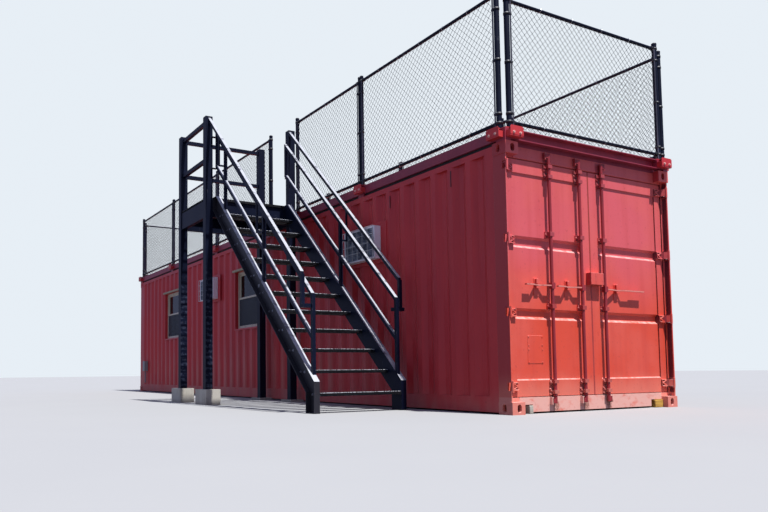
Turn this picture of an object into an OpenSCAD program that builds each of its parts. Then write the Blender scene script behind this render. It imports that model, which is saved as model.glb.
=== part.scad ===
// Shipping container cabin with a fenced roof deck, an outside stair and a landing.
// The long axis is X with the cargo doors at +X; the stair stands on the -Y side.
// The origin is the middle of the footprint at ground level. Units: millimetres.

/* [Container] */
// Length over the corner castings
cabin_l = 12192; // [11900:10:12600]
// Width over the corner castings
cabin_w = 2438; // [2400:1:2500]
// Height over the corner castings
cabin_h = 2591; // [2560:1:2700]
// Corner casting: length, width and height
casting = [178, 162, 118];
// Centre of its top and bottom openings from the end and from the side, and their size
casting_hole = [103.5, 89.5];
casting_slot = [124, 63.5];
// How far walls, posts and rails lie behind the castings' faces
skin_inset = 6; // [4:1:8]
// Thickness of folded sheet steel
sheet_t = 2.5; // [2:0.5:4]
// Thickness of posts and pressed rails
rail_t = 6; // [5:1:8]
// Size of the square tube along the top edges
top_rail = 60; // [50:1:70]
// Height and flange width of the bottom side rail
bottom_rail_h = 150; // [130:5:170]
rail_w = 50; // [45:1:60]
// Width of the far end's posts
end_post_w = 120; // [100:5:150]
// Clearance under the bottom rails and cross members
under_gap = 17; // [12:1:25]
// Thickness of the plywood floor
floor_t = 28; // [24:1:32]
// Distance between floor cross members
cross_pitch = 450; // [400:10:600]

/* [Corrugated walls] */
// Length of one corrugation
wall_pitch = 278; // [260:1:300]
// Depth of the corrugation
wall_depth = 36; // [30:1:40]
// Width of its outer flat
wall_flat = 72; // [60:1:80]
// Width of each sloping web
wall_slope = 68; // [55:1:72]
// Length and depth of one roof corrugation
roof_pitch = 209; // [190:1:230]
roof_depth = 20; // [16:1:24]

/* [Windows and wall units] */
// Windows: distance of each left edge from the middle, size and sill height
window_x = [-4190, -345];
window_w = 960; // [800:10:1000]
window_h = 965; // [850:5:1000]
window_sill = 1155; // [1100:5:1250]
// Depth of the window frame, and how far it is set back in the opening
window_d = 60; // [50:1:80]
window_in = 58; // [40:1:65]
// Wall units: distance of each left edge from the middle, size and underside
unit_x = [-1815, 3350];
unit_w = 670; // [600:10:720]
unit_h = 390; // [340:10:430]
unit_z = 1755; // [1700:5:1850]
// How far a wall unit stands out of the wall, and how deep it is in all
unit_out = 90; // [80:5:100]
unit_d = 420; // [350:10:500]
// Guard before a wall unit: its wires, and how far it stands off the case
cage_wire = 5; // [4:1:8]
cage_off = 24; // [15:1:26]
// Steel lining of the openings in the wall: thickness and depth
lining_t = 5; // [4:1:8]
lining_d = 125; // [120:1:150]

/* [Cargo doors] */
// Hinge pin: distance from the door end and from the side
pin_in = [16, 24];
pin_d = 16; // [14:1:18]
// Face of the leaves behind the door end
leaf_in = 81; // [78:1:84]
// Front of the header and sill behind the door end
frame_in = 74; // [70:1:76]
// Lip of the door posts: its edge behind the door end, its thickness and the depth of the recess
lip_in = 14; // [12:1:20]
lip_t = 8; // [6:1:12]
lip_d = 58; // [50:1:64]
// Thickness of a leaf
leaf_t = 60; // [50:1:70]
// Gap between the two leaves, and gap round them
leaf_gap = 20; // [18:1:26]
leaf_clear = 8; // [6:1:10]
// Underside of the leaves, and their top below the container's
leaf_z0 = 165; // [160:1:175]
leaf_drop = 141; // [138:1:160]
// Width of a leaf's frame at the hinges and at the free edge
hinge_frame = 95; // [80:1:110]
free_frame = 110; // [90:1:115]
// Height of the frame member at the foot, and depth of the one at the head
foot_frame = 165; // [140:1:180]
head_frame = 140; // [125:1:170]
// Depth of the flat panels and of the channels between them
panel_in = 12; // [8:1:16]
channel_in = 40; // [30:1:46]
// Heights of the two channels
channels = [[915, 995], [1605, 1695]];
// Lock rods: distance from the middle line, diameter and distance behind the door end
rod_y = [-600, -170, 170];
rod_d = 34; // [30:1:36]
rod_in = 48; // [46:1:50]
// Lower ends of the rods, and their upper ends below the container's top
rod_z0 = 90; // [85:1:105]
rod_drop = 41; // [38:1:60]
// Guides: width, height of the long end ones and of the middle ones, and the middle ones' heights
guide_w = 80; // [70:1:90]
guide_h = [150, 60];
guide_mid = [1035, 1745];
// Handles: height, lengths, distance of the retainer from the rod and length of the grip
handle_z = 1237; // [1200:1:1300]
handle_l = [360, 360, 600];
retainer_y = [180, 180, 215];
grip_l = [94, 94, 185];
// Hinges: height of the lowest above the leaf's foot, of the highest below its top, of the others
hinge_ends = [97, 88];
hinge_mid = [960, 1660];
// Height of a hinge blade, and its gap to the lugs beside it
blade_h = 74; // [60:1:80]
blade_gap = 2; // [1:0.5:4]
// Lock box over the joint between the leaves: height, reach to each side and standing out
lock_z = [1276, 1397];
lock_y = [70, 124];
lock_out = 60; // [50:1:62]
// Gap between its halves
lock_gap = 8; // [6:1:12]

/* [Roof deck fence] */
// Perimeter beam: height, width and thickness of the plates that carry it
beam_h = 100; // [80:5:120]
beam_w = 75; // [70:5:100]
beam_lift = 20; // [10:1:30]
// Brackets of the fence posts: width, thickness and how far they stand out of the beam
bracket_w = 170; // [140:5:190]
bracket_t = 10; // [8:1:14]
bracket_out = 58; // [40:1:62]
// Height of the fence above the beam: stair side, ends and back
fence_h = [1400, 1325, 1247];
// Diameters of the posts between panels, of the posts at corners and openings, and of the rails
post_d = 44; // [40:1:48]
corner_post_d = 54; // [48:1:58]
rail_d = 36; // [32:1:42]
// Height of the bottom rail above the beam
fence_foot = 75; // [60:5:100]
// Posts between the corners along the stair side: the opening lies between the two runs
near_run = [[-3750, -1240, 1000], [1885, 3580]];
// How far a bracket there lies from its posts, towards the doors
bracket_side = 38; // [0:1:40]
// Posts between the corners along the back
back_run = [-3750, -1240, 1200, 3600];
// Corner posts: distance of the long runs' from the end, and of the end panels' from the side
corner_in = [110, 97];

/* [Landing and stair] */
// Height of the landing floor above the container's top
land_up = 179; // [120:1:240]
// Outside of the landing's four posts: along X, and distance of the two rows from the wall
land_x = [900, 2000];
// Gap from the wall to the inner posts, and width over the posts
land_gap = 70; // [50:5:120]
land_w = 1360; // [1300:10:1450]
// Size of the square posts and their height above the floor of the landing
stair_post = 100; // [90:1:110]
guard_h = 1118; // [1000:1:1150]
// Number of risers and run of a tread
risers = 12; // [12:1:13]
tread_run = 247; // [235:1:260]
// Depth and thickness of a tread
tread_d = 178; // [165:1:200]
grating_t = 32; // [30:1:38]
// How far the treads lie below an even rise from the ground
tread_drop = 27; // [0:1:30]
// Depth, flange width and web thickness of the stringers
stringer_h = 203; // [180:1:230]
stringer_w = 65; // [55:1:75]
stringer_t = 8; // [6:1:10]
// Height of a stringer's top edge above the nosings, and length of its foot
stringer_up = 90; // [60:5:110]
foot_l = 180; // [150:5:220]
// Depth of the landing's edge channels
land_beam = 230; // [200:5:260]
// Size of the landing's guard tube, and heights of its two rails above the floor
guard_s = 50; // [40:1:60]
guard_up = [560, 1078];
// Size of the square rail tube
rail_s = 38; // [32:1:45]
// Distance of the handrail from the guard beside it
hand_out = 90; // [80:1:95]
// Heights of the stair rails above the nosings: middle, guard and upper handrail
rail_up = [450, 880, 1050];
// Concrete blocks under the outer posts
block = [400, 200, 200];
// Thickness of the pads under the inner posts
pad_t = 30; // [20:5:40]

/* [Hidden] */
$fn = 32;
red = [0.62, 0.16, 0.15];
black = [0.10, 0.11, 0.14];
grey = [0.75, 0.75, 0.72];

half_l = cabin_l / 2;
half_w = cabin_w / 2;
// Faces of the walls, seen from the middle
face_x = half_l - skin_inset;
face_y = half_w - skin_inset;
// Levels of the container
land_z = cabin_h + land_up;
rail_z = under_gap + bottom_rail_h;
top_z = cabin_h - 16;
head_z = top_z - top_rail;
floor_z = rail_z - 12;
beam_z = cabin_h + beam_lift;
deck_z = beam_z + beam_h;
// Ends of the walls, rails, roof and floor between the corner castings
inner_x = half_l - casting[0];
inner_y = half_w - casting[1];
// Top of the casting below and underside of the casting above
post_z = [casting[2], cabin_h - casting[2]];
// Hinge pins and door leaves
hinge_x = half_l - pin_in[0];
hinge_y = half_w - pin_in[1];
leaf_x = half_l - leaf_in;
leaf_z = [leaf_z0, cabin_h - leaf_drop];
leaf_edge = hinge_y - 30;
rod_x = half_l - rod_in;
rod_ends = [rod_z0, cabin_h - rod_drop];
creases = [leaf_z[0] + foot_frame, leaf_z[1] - head_frame];
hinge_z = [leaf_z[0] + hinge_ends[0], each hinge_mid, leaf_z[1] - hinge_ends[1]];
guide_z = [leaf_z[0] + guide_h[0] / 2 + 12, each guide_mid, leaf_z[1] - guide_h[0] / 2 - 5];
// Front of the door header and sill, and inner edge of the posts' stops behind the leaves
frame_x = half_l - frame_in;
stop_y = leaf_edge + leaf_clear - 50;
// Front edge of the door posts' lips and floor of the recess behind it
lip_x = half_l - lip_in;
recess_x = lip_x - lip_d;
// Stair and landing
post_in_y = -half_w - land_gap;
post_out_y = post_in_y - land_w;
web_in_y = post_in_y - stair_post - stringer_w - 30 + 5;
web_out_y = post_out_y + stair_post + stringer_w;
rise = land_z / risers;
pitch = rise / tread_run;
nose_x = land_x[1] + 20;
treads = risers - 1;
foot_x = nose_x + treads * tread_run;
land_under = land_z - grating_t;
post_top = land_z + guard_h;
// Corner posts of the fence
corner_x = half_l - corner_in[0];
// Gap at each end of the end beams
beam_joint = 0.5;
end_post_y = half_w - corner_in[1];
// The footprint's middle is the origin
cabin_y = -(post_out_y + stair_post / 2 - block[1] / 2 + half_w + bracket_out) / 2;

module at_cabin() translate([0, cabin_y, 0]) children();

// A block between two corners
module span(a, b) translate(a) cube([b[0] - a[0], b[1] - a[1], b[2] - a[2]]);

// Both sides of the container's length
module both_sides() {
    children();
    mirror([0, 1, 0]) children();
}

// Height of the line through the nosings
function nose_z(x) = land_z - (x - nose_x) * pitch;

// Corner castings

module slot_hole(length, width, depth) {
    for (side = [-1, 1]) translate([side * (length - width) / 2, 0, 0])
        cylinder(d = width, h = depth, center = true);
    cube([length - width, width, depth], center = true);
}

// A casting with its outer corner at the origin and its body towards -X, -Y and +Z
module corner_casting() {
    wall = 28;
    back = 16;
    side_slot = [79, 52];
    difference() {
        span([-casting[0], -casting[1], 0], [0, 0, casting[2]]);
        span([-casting[0] + back, -casting[1] + back, wall], [-wall, -wall, casting[2] - back]);
        translate([-casting_hole[0], -casting_hole[1], 0])
            slot_hole(casting_slot[0], casting_slot[1], 3 * wall);
        translate([0, -casting_hole[1], casting[2] / 2]) rotate([0, 90, 0])
            slot_hole(side_slot[0], side_slot[1], 3 * wall);
        translate([-casting_hole[0], 0, casting[2] / 2]) rotate([0, 90, 90])
            slot_hole(side_slot[0], side_slot[1], 3 * wall);
    }
}

module casting_pair() {
    translate([half_l, half_w, 0]) corner_casting();
    translate([half_l, half_w, cabin_h]) mirror([0, 0, 1]) corner_casting();
}

// Door end frame

// Folded door post: outer side, floor of the recess, return along the leaf and stop behind it
module door_post_section() {
    stop = leaf_x - leaf_t - leaf_clear;
    inner = leaf_edge + leaf_clear;
    for (r = [[[inner_x, face_y - rail_t], [recess_x, face_y]],
              [[recess_x - rail_t, inner], [recess_x, face_y]],
              [[stop - rail_t, inner], [recess_x, inner + rail_t]],
              [[stop - rail_t, stop_y], [stop, inner + rail_t]],
              [[inner_x, stop_y], [inner_x + rail_t, face_y]],
              [[inner_x, stop_y], [stop, stop_y + rail_t]]])
        translate(r[0]) square(r[1] - r[0]);
}

// Half the height of the notch in the lip at each hinge
notch = blade_h / 2 + blade_gap;

// Outer lip in front of the recess, cut open at the hinges, with a hem along its edge
module post_lip() difference() {
    union() {
        span([recess_x, face_y - lip_t, post_z[0]], [lip_x, face_y, post_z[1]]);
        span([lip_x - 12, face_y - lip_t - 6, post_z[0]], [lip_x, face_y - lip_t, post_z[1]]);
    }
    for (z = hinge_z)
        span([recess_x + 12, face_y - 2 * lip_t, z - notch], [lip_x + 1, face_y + 1, z + notch]);
}

// Two lugs and the pin of one hinge
module hinge_lugs() {
    lug = 14;
    translate([hinge_x, hinge_y, 0]) {
        cylinder(d = pin_d, h = 2 * (notch + lug + 3), center = true);
        for (side = [-1, 1]) translate([0, 0, side * (notch + lug / 2)]) {
            cylinder(d = 2 * pin_in[0] - 2, h = lug, center = true);
            translate([recess_x - 1 - hinge_x, -13, -lug / 2]) cube([hinge_x - recess_x + 1, 25, lug]);
        }
    }
}

module door_post() {
    color(red) {
        casting_pair();
        translate([0, 0, post_z[0]]) linear_extrude(post_z[1] - post_z[0]) door_post_section();
        post_lip();
        for (z = hinge_z) translate([0, 0, z]) hinge_lugs();
    }
}

module door_post_right() at_cabin() door_post();
module door_post_left() at_cabin() mirror([0, 1, 0]) door_post();

// Cam of a lock rod: how far it reaches beside the rod, its height and its place from the rod's end
cam_reach = 38;
cam_h = 40;
cam_end = 6;

// Which way each lock rod turns: its handle swings out from the leaf
function rod_turn(i) = rod_y[i] < 0 ? -1 : 1;

// Lower edge of the cam at the foot or head of a rod
function cam_z(top) = top ? rod_ends[1] - cam_end - cam_h : rod_ends[0] + cam_end;

// Keeper beside a cam: an upright cheek and two plates above and below the cam, open to the front
module keeper(i, top) {
    turn = rod_turn(i);
    z = cam_z(top);
    room = 6;
    t = 9;
    y = rod_y[i];
    y0 = turn * (rod_d / 2 + 8);
    y1 = turn * (cam_reach + room);
    y2 = turn * (cam_reach + room + t);
    span([frame_x, y + min(y1, y2), z - room - t], [rod_x + 8, y + max(y1, y2), z + cam_h + room + t]);
    for (k = [z - room - t, z + cam_h + room])
        span([frame_x, y + min(y0, y1), k], [rod_x + 4, y + max(y0, y1), k + t]);
}

// The header's lower edge slopes out a little over the leaves
module door_header() at_cabin() color(red) {
    z = leaf_z[1] + leaf_clear;
    stop = leaf_x - leaf_t - leaf_clear;
    w = leaf_edge + leaf_clear;
    span([inner_x, -inner_y, post_z[1]], [frame_x, inner_y, top_z]);
    span([inner_x, -stop_y, z], [stop, stop_y, post_z[1]]);
    span([stop, -w, z], [frame_x, w, post_z[1]]);
    translate([0, inner_y, 0]) rotate([90, 0, 0]) linear_extrude(2 * inner_y)
        polygon([[frame_x, z], [frame_x + 5, z + 4], [frame_x, z + 46]]);
    for (i = [0 : len(rod_y) - 1]) keeper(i, true);
}

// The sill is cut away beside the castings
module door_sill() at_cabin() color(red) {
    z = leaf_z[0] - leaf_clear;
    stop = leaf_x - leaf_t - leaf_clear;
    w = leaf_edge + leaf_clear;
    recess = [177, 71];
    difference() {
        span([inner_x, -inner_y, under_gap], [frame_x, inner_y, post_z[0]]);
        for (side = [0, 1]) mirror([0, side, 0])
            span([inner_x + 40, inner_y - recess[0], under_gap - 1],
                 [frame_x + 1, inner_y + 1, under_gap + recess[1]]);
    }
    span([inner_x, -stop_y, post_z[0]], [stop, stop_y, z]);
    span([stop, -w, post_z[0]], [frame_x, w, z]);
    for (i = [0 : len(rod_y) - 1]) keeper(i, false);
}

// Far end frame: two posts with castings, and two rails between them
module far_posts() at_cabin() mirror([1, 0, 0]) color(red) both_sides() {
    casting_pair();
    translate([0, 0, post_z[0]]) linear_extrude(post_z[1] - post_z[0]) union() {
        translate([inner_x, face_y - rail_t]) square([face_x - inner_x, rail_t]);
        translate([face_x - rail_t, face_y - end_post_w]) square([rail_t, end_post_w]);
    }
}

module far_rails() at_cabin() mirror([1, 0, 0]) color(red) {
    depth = 60;
    span([inner_x, -inner_y, top_z - rail_t], [face_x, inner_y, top_z]);
    span([face_x - depth, -inner_y, post_z[1]], [face_x, inner_y, top_z]);
    span([face_x - rail_w, -inner_y, under_gap], [face_x, inner_y, rail_z]);
}

// Long rails: square tube above, channel below
module side_rails() at_cabin() color(red) both_sides() {
    x = inner_x;
    difference() {
        span([-x, face_y - top_rail, head_z], [x, face_y, top_z]);
        span([-x - 1, face_y - top_rail + 4, head_z + 4], [x + 1, face_y - 4, top_z - 4]);
    }
    span([-x, face_y - rail_t, under_gap], [x, face_y, rail_z]);
    span([-x, face_y - rail_w, under_gap], [x, face_y - rail_t, under_gap + rail_t]);
    span([-x, face_y - rail_w, rail_z - rail_t], [x, face_y - rail_t, rail_z]);
}

// Corrugated sheet of a given length, drawn from x = 0 with its outer flats at y = 0
function fold_line(pitch, flat, slope, depth, n, start) = concat([[0, 0]],
    [for (i = [0 : n - 1]) let (x = start + i * pitch)
        each [[x + flat, 0], [x + flat + slope, -depth],
              [x + pitch - slope, -depth], [x + pitch, 0]]]);

module corrugated(length, pitch, flat, slope, depth, t) {
    n = floor((length - flat) / pitch);
    start = (length - n * pitch - flat) / 2;
    line = concat(fold_line(pitch, flat, slope, depth, n, start), [[length, 0]]);
    back = [for (i = [len(line) - 1 : -1 : 0]) line[i] - [0, t]];
    polygon(concat(line, back));
}

module wall_sheet(length) corrugated(length, wall_pitch, wall_flat, wall_slope, wall_depth, sheet_t);

module near_wall() at_cabin() color(red) difference() {
    translate([-inner_x, -face_y, rail_z]) linear_extrude(head_z - rail_z)
        mirror([0, 1, 0]) wall_sheet(2 * inner_x);
    for (x = window_x)
        span([x - lining_t, -half_w - 1, window_sill - lining_t],
             [x + window_w + lining_t, -face_y + wall_depth + 5, window_sill + window_h + lining_t]);
    for (x = unit_x)
        span([x - lining_t, -half_w - 1, unit_z - lining_t],
             [x + unit_w + lining_t, -face_y + wall_depth + 5, unit_z + unit_h + lining_t]);
}

module back_wall() at_cabin() color(red)
    translate([-inner_x, face_y, rail_z]) linear_extrude(head_z - rail_z)
        wall_sheet(2 * inner_x);

module far_wall() at_cabin() color(red)
    translate([-face_x + rail_t, -face_y + end_post_w - 20, rail_z]) rotate([0, 0, 90])
        linear_extrude(post_z[1] - rail_z) wall_sheet(2 * (face_y - end_post_w + 20));

module roof_panel() at_cabin() color(red)
    translate([-inner_x, face_y - top_rail, top_z]) rotate([90, 0, 0])
        linear_extrude(2 * (face_y - top_rail))
            corrugated(2 * inner_x, roof_pitch, 80, 25, roof_depth, sheet_t);

module floor_deck() at_cabin() color([0.45, 0.32, 0.2])
    span([-face_x + rail_w, -face_y + rail_w, floor_z], [inner_x, face_y - rail_w, floor_z + floor_t]);

// Folded channels under the floor, from rail to rail
module cross_members() at_cabin() color(red) {
    y = face_y - rail_t;
    depth = floor_z - under_gap - 12;
    n = floor((2 * face_x - 400) / cross_pitch);
    for (i = [0 : n]) {
        x = -n * cross_pitch / 2 + i * cross_pitch;
        translate([x, y, floor_z]) rotate([90, 0, 0]) linear_extrude(2 * y) union() {
            translate([0, -depth]) square([4.5, depth]);
            translate([0, -4.5]) square([45, 4.5]);
            translate([0, -depth]) square([45, 4.5]);
        }
    }
}

// A steel ring that lines an opening in the near wall
module lining(x, z, w, h) {
    difference() {
        span([x - lining_t, -half_w, z - lining_t],
             [x + w + lining_t, -half_w + lining_d, z + h + lining_t]);
        span([x, -half_w - 1, z], [x + w, -half_w + lining_d + 1, z + h]);
    }
}

module opening_linings() at_cabin() color(red) {
    for (x = window_x) lining(x, window_sill, window_w, window_h);
    for (x = unit_x) lining(x, unit_z, unit_w, unit_h);
}

// Single-hung window, set back in its opening: frame with the meeting rail across it
window_bar = 38;
meeting_z = window_sill + window_h / 2 + 25;

module window_frame(x) {
    bar = window_bar;
    mid = meeting_z;
    y = -half_w + window_in;
    difference() {
        span([x, y, window_sill], [x + window_w, y + window_d, window_sill + window_h]);
        span([x + bar, y - 1, window_sill + bar],
             [x + window_w - bar, y + window_d + 1, window_sill + window_h - bar]);
    }
    span([x + bar, y + 4, mid - 22], [x + window_w - bar, y + 46, mid + 22]);
    // head flashing above the opening
    head = window_sill + window_h + lining_t;
    span([x - 60, -half_w - 28, head], [x + window_w + 60, -half_w, head + 34]);
}

module window_frames() at_cabin() color([0.86, 0.82, 0.72]) for (x = window_x) window_frame(x);

module window_glass() at_cabin() color([0.15, 0.18, 0.2, 0.6]) for (x = window_x) {
    bar = window_bar;
    y = -half_w + window_in + 14;
    span([x + bar, y, window_sill + bar], [x + window_w - bar, y + 5, meeting_z - 22]);
    span([x + bar, y + 14, meeting_z + 22], [x + window_w - bar, y + 19, window_sill + window_h - bar]);
}

// Wall unit: a case through the wall with a recessed coil face
module wall_units() at_cabin() color(grey) for (x = unit_x) {
    y = -half_w - unit_out;
    difference() {
        span([x + 1, y, unit_z], [x + unit_w - 1, y + unit_d, unit_z + unit_h - 1]);
        span([x + 20, y - 1, unit_z + 20], [x + unit_w - 20, y + 14, unit_z + unit_h - 20]);
    }
}

// Wire guard before a wall unit, held off its case at the corners
module unit_cages() at_cabin() color("white") for (x = unit_x) {
    wire = cage_wire;
    face = -half_w - unit_out;
    y = face - cage_off - wire;
    nx = 6;
    nz = 4;
    for (px = [x, x + unit_w - wire], pz = [unit_z, unit_z + unit_h - wire])
        span([px, y + wire, pz], [px + wire, face, pz + wire]);
    for (i = [0 : nx]) {
        px = x + i * (unit_w - wire) / nx;
        span([px, y, unit_z], [px + wire, y + wire, unit_z + unit_h]);
    }
    for (k = [0 : nz]) {
        pz = unit_z + k * (unit_h - wire) / nz;
        span([x, y, pz], [x + unit_w, y + wire, pz + wire]);
    }
}

module meter_box() at_cabin() color(grey) {
    x = 446 - half_l;
    span([x, -half_w - 70, 470], [x + 150, -face_y, 700]);
    translate([x + 75, -half_w - 30, 200]) cylinder(d = 27, h = 270);
}

// Roof deck frame and fence

// Beams along the four edges, carried by plates on the castings and on the top rails
module roof_beams() at_cabin() color(red) {
    y = half_w - beam_w;
    x = half_l - beam_w;
    web = 20;
    flange = 9;
    pad = [120, beam_w];
    both_sides() {
        span([-half_l, y, beam_z], [half_l, half_w, deck_z]);
        for (side = [0, 1]) mirror([side, 0, 0])
            span([half_l - pad[0], y, cabin_h], [half_l, half_w, beam_z]);
        for (p = back_run)
            span([p - pad[0] / 2, face_y - top_rail, top_z], [p + pad[0] / 2, face_y, beam_z]);
        // packing strip between the pads
        span([-inner_x, face_y - 45, top_z], [inner_x, face_y - 25, beam_z]);
    }
    // the end beams lie between the side beams and open outwards between the brackets
    for (side = [0, 1]) mirror([side, 0, 0]) {
        difference() {
            span([x, beam_joint - y, beam_z], [half_l, y - beam_joint, deck_z]);
            span([x + web, bracket_w / 2 - end_post_y, beam_z + flange],
                 [half_l + 1, end_post_y - bracket_w / 2, deck_z - flange]);
        }
        span([x - 18, -inner_y, top_z], [x, inner_y, beam_z + flange]);
    }
}

// A bracket on the beam's outer side, drawn for a beam along X with its outer face at y = 0:
// a chamfered front plate held off by two cheeks, a foot ledge and a plate over the beam,
// which reaches along the beam from over[0] to over[1]
module bracket(over = [-bracket_w / 2, bracket_w / 2]) {
    w = bracket_w;
    t = bracket_t;
    out = bracket_out;
    foot = 20;
    cut = 40;
    top = beam_h + t;
    translate([0, out, 0]) rotate([90, 0, 0]) linear_extrude(t) polygon([[-w / 2, foot],
        [w / 2, foot], [w / 2, top - cut], [w / 2 - cut, top], [cut - w / 2, top], [-w / 2, top - cut]]);
    for (side = [0, 1]) mirror([side, 0, 0])
        translate([w / 2 - t, 0, 0]) span([0, 0, foot], [t, out - t, top - cut]);
    span([-w / 2, 0, foot - t], [w / 2, out, foot]);
    span([over[0], -beam_w, beam_h], [over[1], 0, top]);
    span([cut - w / 2, 0, beam_h], [w / 2 - cut, out - t, top]);
}

// Brackets along a side beam: their upper plates stop short of those on the end beams
module bracket_row(xs) {
    w = bracket_w / 2;
    end = half_l - beam_w - 1;
    for (x = xs) translate([x, half_w, beam_z]) bracket([max(-w, -end - x), min(w, end - x)]);
}

module post_brackets() at_cabin() color(red) {
    bracket_row([-corner_x, each back_run, corner_x]);
    mirror([0, 1, 0]) bracket_row([-corner_x, for (run = near_run) for (x = run) x + bracket_side, corner_x]);
    for (side = [0, 1]) mirror([side, 0, 0]) for (y = [-1, 1])
        translate([half_l, y * end_post_y, beam_z]) rotate([0, 0, -90]) bracket();
}

// A framed fence panel along +X from x = 0, with its posts' centres at 0 and w
module fence_panel(w, h, posts) {
    z0 = deck_z + bracket_t;
    top = deck_z + h;
    for (i = [0, 1]) translate([i * w, 0, 0]) {
        translate([0, 0, z0]) cylinder(d = posts[i], h = top - z0);
        translate([0, 0, top]) cylinder(d = posts[i] + 3, h = 12);
    }
    for (z = [deck_z + fence_foot, top - 45])
        translate([0, 0, z]) rotate([0, 90, 0]) cylinder(d = rail_d, h = w);
}

// Panel number i of a run of posts: neighbours stand side by side on one bracket
module run_panel(run, i, side) {
    half_gap = post_d / 2 + 2;
    last = len(run) - 2;
    single = [i == 0, i == last];
    a = single[0] ? run[0] : run[i] + half_gap;
    b = single[1] ? run[i + 1] : run[i + 1] - half_gap;
    color(black) translate([a, side * (half_w - beam_w / 2), 0])
        fence_panel(b - a, side < 0 ? fence_h[0] : fence_h[2],
                    [for (corner = single) corner ? corner_post_d : post_d]);
}

module end_panel(side) color(black)
    translate([side * (half_l - beam_w / 2), -end_post_y, 0]) rotate([0, 0, 90])
        fence_panel(2 * end_post_y, fence_h[1], [corner_post_d, corner_post_d]);

// Runs of posts with the ones at the corners
near_far = [-corner_x, each near_run[0]];
near_door = [each near_run[1], corner_x];
back_all = [-corner_x, each back_run, half_l - beam_w / 2];

module fence_near_1() at_cabin() run_panel(near_far, 0, -1);
module fence_near_2() at_cabin() run_panel(near_far, 1, -1);
module fence_near_3() at_cabin() run_panel(near_far, 2, -1);
module fence_near_4() at_cabin() run_panel(near_door, 0, -1);
module fence_near_5() at_cabin() run_panel(near_door, 1, -1);
module fence_back_1() at_cabin() run_panel(back_all, 0, 1);
module fence_back_2() at_cabin() run_panel(back_all, 1, 1);
module fence_back_3() at_cabin() run_panel(back_all, 2, 1);
module fence_back_4() at_cabin() run_panel(back_all, 3, 1);
module fence_back_5() at_cabin() run_panel(back_all, 4, 1);
module fence_door_end() at_cabin() end_panel(1);
module fence_far_end() at_cabin() end_panel(-1);

// Landing and stair

module footings() at_cabin() color([0.7, 0.68, 0.62]) for (x = land_x) {
    cx = x + (x == land_x[0] ? stair_post / 2 : -stair_post / 2);
    outer = post_out_y + stair_post / 2;
    inner = post_in_y - stair_post / 2;
    span([cx - block[0] / 2, outer - block[1] / 2, 0], [cx + block[0] / 2, outer + block[1] / 2, block[2]]);
    span([cx - 150, inner - 100, 0], [cx + 150, inner + 100, pad_t]);
}

module landing_posts() at_cabin() color(black)
    for (x = [land_x[0], land_x[1] - stair_post], row = [0, 1]) {
        y = row == 0 ? post_out_y : post_in_y - stair_post;
        z = row == 0 ? block[2] : pad_t;
        difference() {
            span([x, y, z], [x + stair_post, y + stair_post, post_top - 5]);
            span([x + 5, y + 5, z - 1], [x + stair_post - 5, y + stair_post - 5, post_top - 5 + 1]);
        }
        span([x, y, post_top - 5], [x + stair_post, y + stair_post, post_top]);
    }

// A channel section with its web at x = 0, toes towards +x and its top at y = 0
module channel_section(depth, flange, t) union() {
    translate([0, -depth]) square([t, depth]);
    translate([0, -t]) square([flange, t]);
    translate([0, -depth]) square([flange, t]);
}

// Channels between the four posts, toes inwards
module landing_frame() at_cabin() color(black) {
    x0 = land_x[0] + stair_post;
    x1 = land_x[1] - stair_post;
    y0 = post_out_y + stair_post;
    y1 = post_in_y - stair_post;
    translate([x0, post_out_y + 10, land_under]) rotate([90, 0, 90])
        linear_extrude(x1 - x0) channel_section(land_beam, 60, 8);
    translate([x1, post_in_y - 10, land_under]) rotate([90, 0, -90])
        linear_extrude(x1 - x0) channel_section(land_beam, 60, 8);
    translate([land_x[0] + 10, y1, land_under]) rotate([90, 0, 0])
        linear_extrude(y1 - y0) channel_section(land_beam, 60, 8);
    translate([land_x[1], y0, land_under]) rotate([90, 0, 180])
        linear_extrude(y1 - y0) channel_section(land_beam, 60, 8);
}

// Bar grating over a rectangle, with bearing bars along Y
module grating(w, d, pitch_x, t) {
    n = round((w - 6) / pitch_x);
    for (i = [0 : n]) translate([i * (w - 6) / n, 0, 0]) cube([6, d, t]);
    for (y = [0, d / 2, d - 8]) translate([0, y, t - 10]) cube([w, 8, 10]);
}

module landing_grating() at_cabin() color(black) {
    x0 = land_x[0] + 10;
    difference() {
        translate([x0, post_out_y + 10, land_under])
            grating(land_x[1] - x0, land_w - 20, 60, grating_t);
        for (x = [land_x[0], land_x[1] - stair_post], y = [post_out_y, post_in_y - stair_post])
            span([x - 1, y - 1, land_under - 1],
                 [x + stair_post + 1, y + stair_post + 1, land_z + 1]);
    }
    // nosing in front of the head channel, between the stringers
    span([land_x[1], web_out_y, land_under], [nose_x, web_in_y, land_z]);
}

// Stringer in the X-Z plane: sloping part, level cut at the landing and plumb foot
module stringer_outline(cut) {
    down = stringer_h / cos(atan(pitch)) - stringer_up;
    x0 = land_x[1];
    knee_x = foot_x - foot_l;
    up = stringer_up;
    top_x = nose_x + up / pitch;
    offset(delta = -cut) polygon([[x0, nose_z(x0) - down], [x0, land_z], [top_x, land_z],
        [foot_x, nose_z(foot_x) + up], [foot_x, 0], [knee_x, 0],
        [knee_x, nose_z(knee_x) - down]]);
}

module stringer(web_y, out) {
    t = stringer_t;
    y0 = min(web_y, web_y + out * t);
    translate([0, y0 + t, 0]) rotate([90, 0, 0]) linear_extrude(t) stringer_outline(0);
    f0 = min(web_y + out * t, web_y + out * stringer_w);
    translate([0, f0 + stringer_w - t, 0]) rotate([90, 0, 0]) linear_extrude(stringer_w - t)
        difference() {
            stringer_outline(0);
            stringer_outline(t);
        }
}

module outer_stringer() at_cabin() color(black) stringer(web_out_y, -1);
module inner_stringer() at_cabin() color(black) stringer(web_in_y, 1);

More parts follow.
